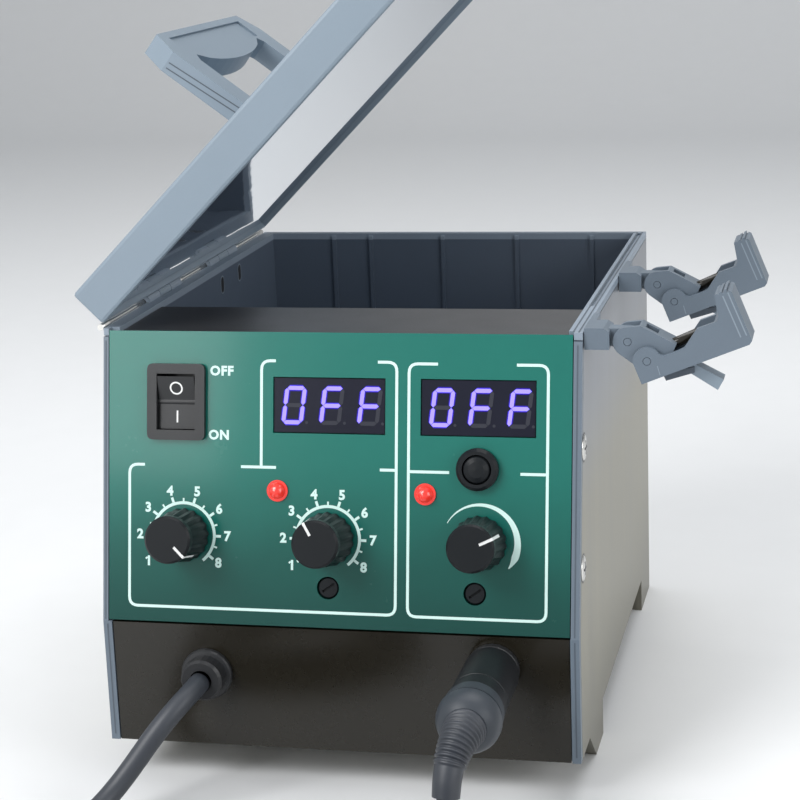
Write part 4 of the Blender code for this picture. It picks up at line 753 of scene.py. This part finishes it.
# %%
BARS = {
    "top": ((0, 1), 0), "upper left": ((-1, 0.5), 1), "upper right": ((1, 0.5), 1),
    "middle": ((0, 0), 0), "lower left": ((-1, -0.5), 1), "lower right": ((1, -0.5), 1),
    "bottom": ((0, -1), 0),
}
LIT = {
    "O": {"top", "upper left", "upper right", "lower left", "lower right", "bottom"},
    "F": {"top", "upper left", "middle", "lower left"},
}


def bar(centre, upright, length, width):
    """A six-sided bar: its two ends come to a point."""
    u = np.array([-0.5, -0.5 + width / length / 2, 0.5 - width / length / 2, 0.5]) * length
    v = np.array([0.02, 0.5, 0.5, 0.02]) * width
    table = np.stack([np.stack([u, v], 1), np.stack([u, -v], 1)], axis=1)
    if upright:
        table = np.stack([-table[..., 1], table[..., 0]], axis=-1)
    return table + np.asarray(centre)


def digits(reading, middle):
    """Lit bars, their halos and the unlit bars of a reading about a middle, leaning to the right."""
    lit, halo, unlit = [], [], []
    wide, tall, width = 6.0 * MM, 11.4 * MM, 1.35 * MM
    for k, digit in enumerate(reading):
        centre = np.array(middle) + (((k - 1) * 12.9 + 0.9) * MM, 0)
        for name, ((x, y), upright) in BARS.items():
            spot = (x * wide / 2, y * tall / 2)
            length = (tall / 2 if upright else wide) - 0.2 * MM
            lean = np.array([[1, 0], [0.12, 1]])
            table = bar(spot, upright, length, width) @ lean + centre
            if name in LIT[digit]:
                lit.append((table, False))
                halo.append((bar(spot, upright, length + 0.5 * MM, width + 0.8 * MM) @ lean + centre,
                             False))
            else:
                unlit.append((table, False))
        spot = centre + (wide / 2 + 1.3 * MM, -tall / 2)
        dot = arc_path(spot, 0.5 * MM, 0, 360, 13)
        unlit.append((np.stack([dot, 0 * dot + spot], 1), False))
    return lit, halo, unlit


for name, middle in (("heat", (-2.6, 74.3)), ("board", (47.4, 74.3))):
    lit, halo, unlit = digits("OFF", np.array(middle) * MM)
    window = -0.0005
    flat_piece(f"halo_digits_{name}", halo, HALO, "case", window + 0.00003)
    flat_piece(f"lit_digits_{name}", lit, SEGMENT, "case", window + 0.00008)
    flat_piece(f"unlit_digits_{name}", unlit, DIM_SEGMENT, "case", window + 0.00006)
print("two displays")

# %% [markdown]
# ## Marks on the moving controls
#
# The pointer of a knob runs out over its face, turns the edge and comes down its fluted side. Its points
# are pairs, half the mark's width to each side of a line of (distance from the axis, height).

# %%
KNOBS = {"air": ((-0.0527, 0.0301), 135), "heat": ((-0.0027, 0.0302), -30), "board": ((0.0483, 0.0304), 65)}
pointer_line = np.array([(3.2, 17.28), (7.2, 17.28), (7.75, 17.24), (8.02, 16.9), (8.02, 14.6), (8.55, 8.0)])
for name, ((across, up_panel), angle) in KNOBS.items():
    turn = math.radians(angle)
    outward = np.array([math.sin(turn), math.cos(turn)])
    sideways = np.array([outward[1], -outward[0]])
    reach = pointer_line[:, :1] * MM * outward + (across, up_panel)
    half = 0.48 * MM * sideways
    rows = np.stack([reach + half, reach - half], axis=1)
    height = np.broadcast_to(pointer_line[:, 1:, None] * MM, (len(pointer_line), 2, 1))
    points = on_panel(np.concatenate([rows, height], axis=-1))
    new_piece(f"pointer_{name}", points, grid_faces(len(pointer_line), 2)[:, ::-1], WHITE,
              f"knob_{name}_body", smooth=False)
print(len(KNOBS), "pointers")

# %% [markdown]
# The rocker has an upper and a lower face. Each face's own polygons tell where it lies: their mean middle,
# weighted by area, and their normal. The tilt is the upward part of a face's normal. The ring marks off
# and the bar marks on.

# %%
rocker = frame["nodes"]["switch_rocker"].data
area = np.array([polygon.area for polygon in rocker.polygons])
normal = np.array([polygon.normal[:] for polygon in rocker.polygons])
middle = np.array([polygon.center[:] for polygon in rocker.polygons])
ring = arc_path((0, 0), 2.0 * MM, 0, 360, 33)[:-1]
stroke = np.array([(0, 2.0), (0, -2.0)]) * MM
for name, tilt, path, closed in (("off", -0.092, ring, True), ("on", 0.218, stroke, False)):
    chosen = (normal[:, 1] < -0.9) & (abs(normal[:, 2] - tilt) < 0.02) & (area > 1e-5)
    face = np.average(middle[chosen], axis=0, weights=area[chosen])
    out = np.average(normal[chosen], axis=0, weights=area[chosen])
    climb = np.array([0, out[2], -out[1]])

    def on_face(points):
        """Points (across, up, out) placed on one face of the rocker."""
        return face + points[..., :1] * (1.0, 0, 0) + points[..., 1:2] * climb + points[..., 2:3] * out

    flat_piece(f"rocker_{name}", [ribbon(path, 0.55 * MM, closed)], WHITE, "rocker",
               place_points=on_face)
print("rocker marks at height", face[2].round(4))

# %% [markdown]
# ## Trim of the case
#
# Grooves and light edges are thin ribbons on flat faces: a groove is a dark line of painted shade,
# a light edge a pale line of painted highlight. The rim of the tray has a channel between two dark
# lines, and the frame round the panel has a groove down each side, as have the two posts below it.

# %%
low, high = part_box("tool_tray")
front, back = low.y - ROW[1], high.y - ROW[1]
rim = []
for inset in (1.35, 3.2):
    d = inset * MM
    x = HALF_WIDTH - d
    rim.append(ribbon([(x, front + 0.0008), (x, back - d), (-x, back - d)], 0.5 * MM))
flat_piece("rim_channel", rim, GROOVE_SHADE, "case", place_points=on_rim)
frame_lines = [
    ribbon(np.array([(x, 0.0006), (x, PANEL_LENGTH - 0.004)]), 0.45 * MM)
    for x in (HALF_WIDTH - 1.5 * MM, -HALF_WIDTH + 0.9 * MM)
]
flat_piece("frame_grooves", frame_lines, GROOVE_SHADE, "case")
post_lines = [ribbon(np.array([(x, 0.0150), (x, 0.0550)]), 0.45 * MM)
              for x in (HALF_WIDTH - 1.5 * MM, -HALF_WIDTH + 1.5 * MM)]
flat_piece("post_grooves", post_lines, GROOVE_SHADE, "case", place_points=on_front)
print(len(rim) + len(frame_lines) + len(post_lines), "grooves")

# %% [markdown]
# Screw heads are turned from a low dome. A dark cross of two ribbons is painted shade for the recess of
# each, and a dark ring round each head is painted shade where the head meets its face.

# %%
DOME = np.array([(0.001, 0.75), (1.6, 0.72), (3.0, 0.60), (3.9, 0.40), (4.2, 0.20), (4.3, 0.0)]) * MM


def dome_head(name, spot, place_points, size=1.0):
    """A screw head at spot (first, second) of a face whose place_points takes (first, second, out)."""
    def placed(table):
        """The head at its size, a hair off the face."""
        return place_points(table * size + (*spot, 0.00002))

    turned_piece(name, DOME, placed, STEEL, "case", sides=28)
    reach = 2.4 * MM * size
    # The dark cross is painted shade in the recess.
    recess_shade = [ribbon(np.array([(-reach, 0), (reach, 0)]) + spot, 0.8 * MM * size),
            ribbon(np.array([(0, -reach), (0, reach)]) + spot, 0.8 * MM * size)]
    flat_piece(f"{name}_cross", recess_shade, SHELF, "case", 0.80 * MM * size,
               place_points=place_points)
    # The dark ring is painted shade where the head meets the face.
    rim_shade = [ribbon(arc_path(spot, 4.65 * MM * size, 0, 360, 33)[:-1], 0.7 * MM * size, True)]
    flat_piece(f"{name}_shade", rim_shade, SHELF, "case", 0.06 * MM,
               place_points=place_points)


side_spots = [(0.0184, 0.1155), (0.0120, 0.0764)]
for k, (y, z) in enumerate(side_spots):
    dome_head(f"side_screw_{k}", (y, z), on_side)
    dome_head(f"left_screw_{k}", (-y, z), on_left)
for k, (x, z) in enumerate([(-0.070, 0.142), (0.070, 0.142), (-0.070, 0.022), (0.070, 0.022)]):
    dome_head(f"rear_screw_{k}", (x, z), on_back, 0.7)
print(2 * len(side_spots) + 4, "screws")

# %% [markdown]
# Between its knuckles the hinge of the lid shows a bright rod, and the left wall of the tray has two oval
# slots, each painted as a dark oval of shade inside a pale ring of highlight. An oval is a ribbon that runs
# up its own middle, as wide as the oval at each height.

# %%
hinge_low, hinge_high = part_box("hinge_pin_front")
rear_low, rear_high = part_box("hinge_pin_rear")
axis_x, axis_z = (hinge_low.x + hinge_high.x) / 2, (hinge_low.z + hinge_high.z) / 2
for k, (start, end) in enumerate(((low.y + 0.0010, hinge_low.y - 0.0005),
                                  (hinge_high.y + 0.0005, rear_low.y - 0.0005),
                                  (rear_high.y + 0.0005, high.y - 0.0010))):
    y = np.linspace(start, end, 5)
    rod_line = np.stack([0 * y + axis_x, y, 0 * y + axis_z], axis=1)
    tube_piece(f"hinge_rod_{k}", rod_line, 0.0011, STEEL, "case", sides=14)


def oval(centre, wide, tall, steps=17):
    """A round-ended upright shape: at each height the ribbon is as wide as the shape is there."""
    v = np.linspace(-1, 1, steps)
    straight = np.clip((np.abs(v) * tall / 2 - (tall - wide) / 2) / (wide / 2), 0, 1)
    path = np.stack([centre[0] + 0 * v, centre[1] + v * tall / 2], axis=1)
    return ribbon(path, np.maximum(wide * np.sqrt(1 - straight ** 2), 0.00002))


ovals = [(0.1618, 0.1458), (0.1387, 0.1452)]
# Pale rings of painted highlight round the slots.
flat_piece("wall_oval_highlights", [oval(at, 0.0046, 0.0074) for at in ovals], EDGE_HIGHLIGHT, "case",
           0.00005, place_points=on_left_wall)
# Dark ovals of painted shade in the openings of the slots.
flat_piece("wall_oval_shade", [oval(at, 0.0036, 0.0064) for at in ovals], SHELF, "case",
           0.00010, place_points=on_left_wall)
print(len(ovals), "oval slots and three hinge rods")

# %% [markdown]
# ## Trim of the handle and the tool rests
#
# The near arm of the handle ends in a flat face. The corner points of that face give its middle and, from
# their spread, its long direction. Two grooves, painted as dark lines of shade, run along it.

# %%
handle = frame["nodes"]["lid_handle"].data
co = np.empty(len(handle.vertices) * 3)
handle.vertices.foreach_get("co", co)
co = co.reshape(-1, 3)
near = co[:, 1].min()
face = co[co[:, 1] < near + 0.0002][:, [0, 2]]
spread = face - face.mean(axis=0)
long_way = np.linalg.svd(spread)[2][0]
long_way *= np.sign(long_way[1])
wide_way = np.array([-long_way[1], long_way[0]])
along, beside = face @ long_way, face @ wide_way
middle = (beside.min() + beside.max()) / 2


def on_arm(points):
    """Points (along, beside, out) on the arm's end face."""
    p = np.asarray(points)
    flat = p[..., :1] * long_way + (p[..., 1:2] + middle) * wide_way
    return np.stack([flat[..., 0], near - p[..., 2], flat[..., 1]], axis=-1)


arm = [ribbon(np.array([(along.min() + 0.003, offset), (along.max() - 0.001, offset)]), 0.45 * MM)
       for offset in (-0.9 * MM, 1.2 * MM)]
flat_piece("arm_grooves", arm, GROOVE_SHADE, "handle", place_points=on_arm)
print("arm", round(float(along.max() - along.min()), 4), "m long")

# %% [markdown]
# Inside each cradle runs a black rod, and a lever with a pale tab hangs under it; the lever is painted
# dark in the groove shade, as shade under the cradle. The rod is a tube on a short line. Lever and tab
# are four-sided outlines, drawn once for each of their two sides.

# %%
TAB = [(0.1150, 0.1424), (0.1256, 0.1368), (0.1237, 0.1333), (0.1142, 0.1392)]
LEVER = [(0.1060, 0.1388), (0.1163, 0.1410), (0.1163, 0.1391), (0.1072, 0.1363)]
REST_FACES = {"front": 0.0205, "rear": 0.1175}


def flat_bar(name, outline, near, far, material, body):
    """A bar between two upright planes. outline runs with the clock as (across, up), seen from the front."""
    across, up = np.array(outline).T
    table = np.stack(np.broadcast_arrays(across[:, None], np.array([[near, far]]), up[:, None]), axis=-1)
    around = grid_faces(4, 2, close_rows=True)[:, ::-1]
    faces = np.vstack([around, [(6, 4, 2, 0), (1, 3, 5, 7)]])
    return new_piece(name, ROW + table, faces, material, body, smooth=False)


for end, front_face in REST_FACES.items():
    y = front_face + 0.0075
    rod = ROW + np.array([(0.1055, y, 0.1462), (0.1100, y, 0.1483), (0.1180, y, 0.1519)])
    tube_piece(f"rest_rod_{end}", rod, 0.0018, BLACK_GLOSS, f"cradle_{end}", sides=20)
    flat_bar(f"rest_tab_{end}", TAB, front_face + 0.0060, front_face + 0.0130, SLATE, f"cradle_{end}")
    # The lever is painted dark, as shade under the cradle.
    flat_bar(f"rest_lever_{end}", LEVER, front_face + 0.0052, front_face + 0.0122, GROOVE_SHADE, f"cradle_{end}")
    # The crease and the two pad lines on each cheek are painted as pale lines of highlight.
    crease = np.array([(0.1049, 0.1424), (0.1058, 0.1394)])
    pad = [ribbon(np.array([(x + 0.1016, z + 0.1438) for x, z in line]), 0.4 * MM)
           for line in (((0.0315, 0.0088), (0.0256, 0.0226)), ((0.0297, 0.0082), (0.0240, 0.0215)))]
    flat_piece(f"cheek_groove_highlights_{end}", [ribbon(crease, 0.25 * MM), *pad], EDGE_HIGHLIGHT, f"cradle_{end}",
               place_points=face_at((0, front_face, 0), X, Z, -Y))
print("two tool rests trimmed")

# %% [markdown]
# ## The setting
#
# A pale floor that bends up into a wall far behind, four soft lights, and surroundings that look brighter
# to the camera and in glossy surfaces than they light the rest.


# %%
def stage_grid(name, depth, height, width):
    """A sweep: a floor that runs back and turns up in a quarter circle."""
    t = np.linspace(0, 1, 33)
    bend = 0.5
    floor = np.stack([np.linspace(-depth, depth - bend, 9), np.zeros(9)], 1)
    turn_up = np.stack([depth - bend + bend * np.sin(t * np.pi / 2), bend - bend * np.cos(t * np.pi / 2)],
                       1)
    wall = np.stack([np.full(5, depth), np.linspace(bend, height, 5)], 1)
    line = np.vstack([floor, turn_up[1:], wall[1:]])
    x = np.linspace(-width, width, 9)
    table = np.stack(np.broadcast_arrays(x[None], line[:, :1], line[:, 1:]), axis=-1)
    mesh = bpy.data.meshes.new(name)
    mesh.from_pydata(table.reshape(-1, 3).tolist(), [], grid_faces(len(line), 9).tolist())
    mesh.polygons.foreach_set("use_smooth", np.full(len(mesh.polygons), True))
    piece = bpy.data.objects.new(name, mesh)
    bpy.context.scene.collection.objects.link(piece)
    return piece


backdrop = stage_grid("backdrop", 2.2, 2.4, 3.0)
backdrop.data.materials.append(finish("pale floor", (0.80, 0.81, 0.82), 0.6, shade=0.02, scale=40))


def soft_light(name, spot, aim, size, power):
    """A rectangle of light at spot that faces aim: size is its two sides in metres, power is in watts."""
    data = bpy.data.lights.new(name, "AREA")
    data.shape = "RECTANGLE"
    data.size, data.size_y = size
    data.energy = power
    light = bpy.data.objects.new(name, data)
    bpy.context.scene.collection.objects.link(light)
    light.location = spot
    light.rotation_euler = (Vector(aim) - Vector(spot)).to_track_quat("-Z", "Y").to_euler()


soft_light("key", (-0.75, -0.95, 1.05), (0, 0, 0.12), (0.9, 0.7), 17)
soft_light("fill", (1.2, -0.7, 0.6), (0, 0, 0.12), (0.8, 0.8), 7)
soft_light("top", (0.1, 0.3, 1.4), (0, 0, 0.1), (1.2, 1.0), 13)

window = Vector(ROW) + Vector((-0.465, -0.919, 0.370))
soft_light("window", window, Vector(ROW) + Vector((-0.05, 0.017, 0.134)), (0.26, 0.30), 1.6)

world = bpy.data.worlds.new("surroundings")
bpy.context.scene.world = world
world.use_nodes = True
nodes, links = world.node_tree.nodes, world.node_tree.links
sky = nodes["Background"]
sky.inputs["Color"].default_value = (0.80, 0.83, 0.86, 1)
sky.inputs["Strength"].default_value = 0.35
seen = nodes.new("ShaderNodeBackground")
seen.inputs["Color"].default_value = (0.88, 0.90, 0.92, 1)
seen.inputs["Strength"].default_value = 0.9
rays = nodes.new("ShaderNodeLightPath")
either = maths(world.node_tree, "MAXIMUM", rays.outputs["Is Camera Ray"], rays.outputs["Is Glossy Ray"])
mixed = nodes.new("ShaderNodeMixShader")
links.new(either, mixed.inputs["Fac"])
links.new(sky.outputs[0], mixed.inputs[1])
links.new(seen.outputs[0], mixed.inputs[2])
links.new(mixed.outputs[0], nodes["World Output"].inputs["Surface"])
bpy.context.scene.view_settings.view_transform = "Standard"
print("camera, floor and lights are set")
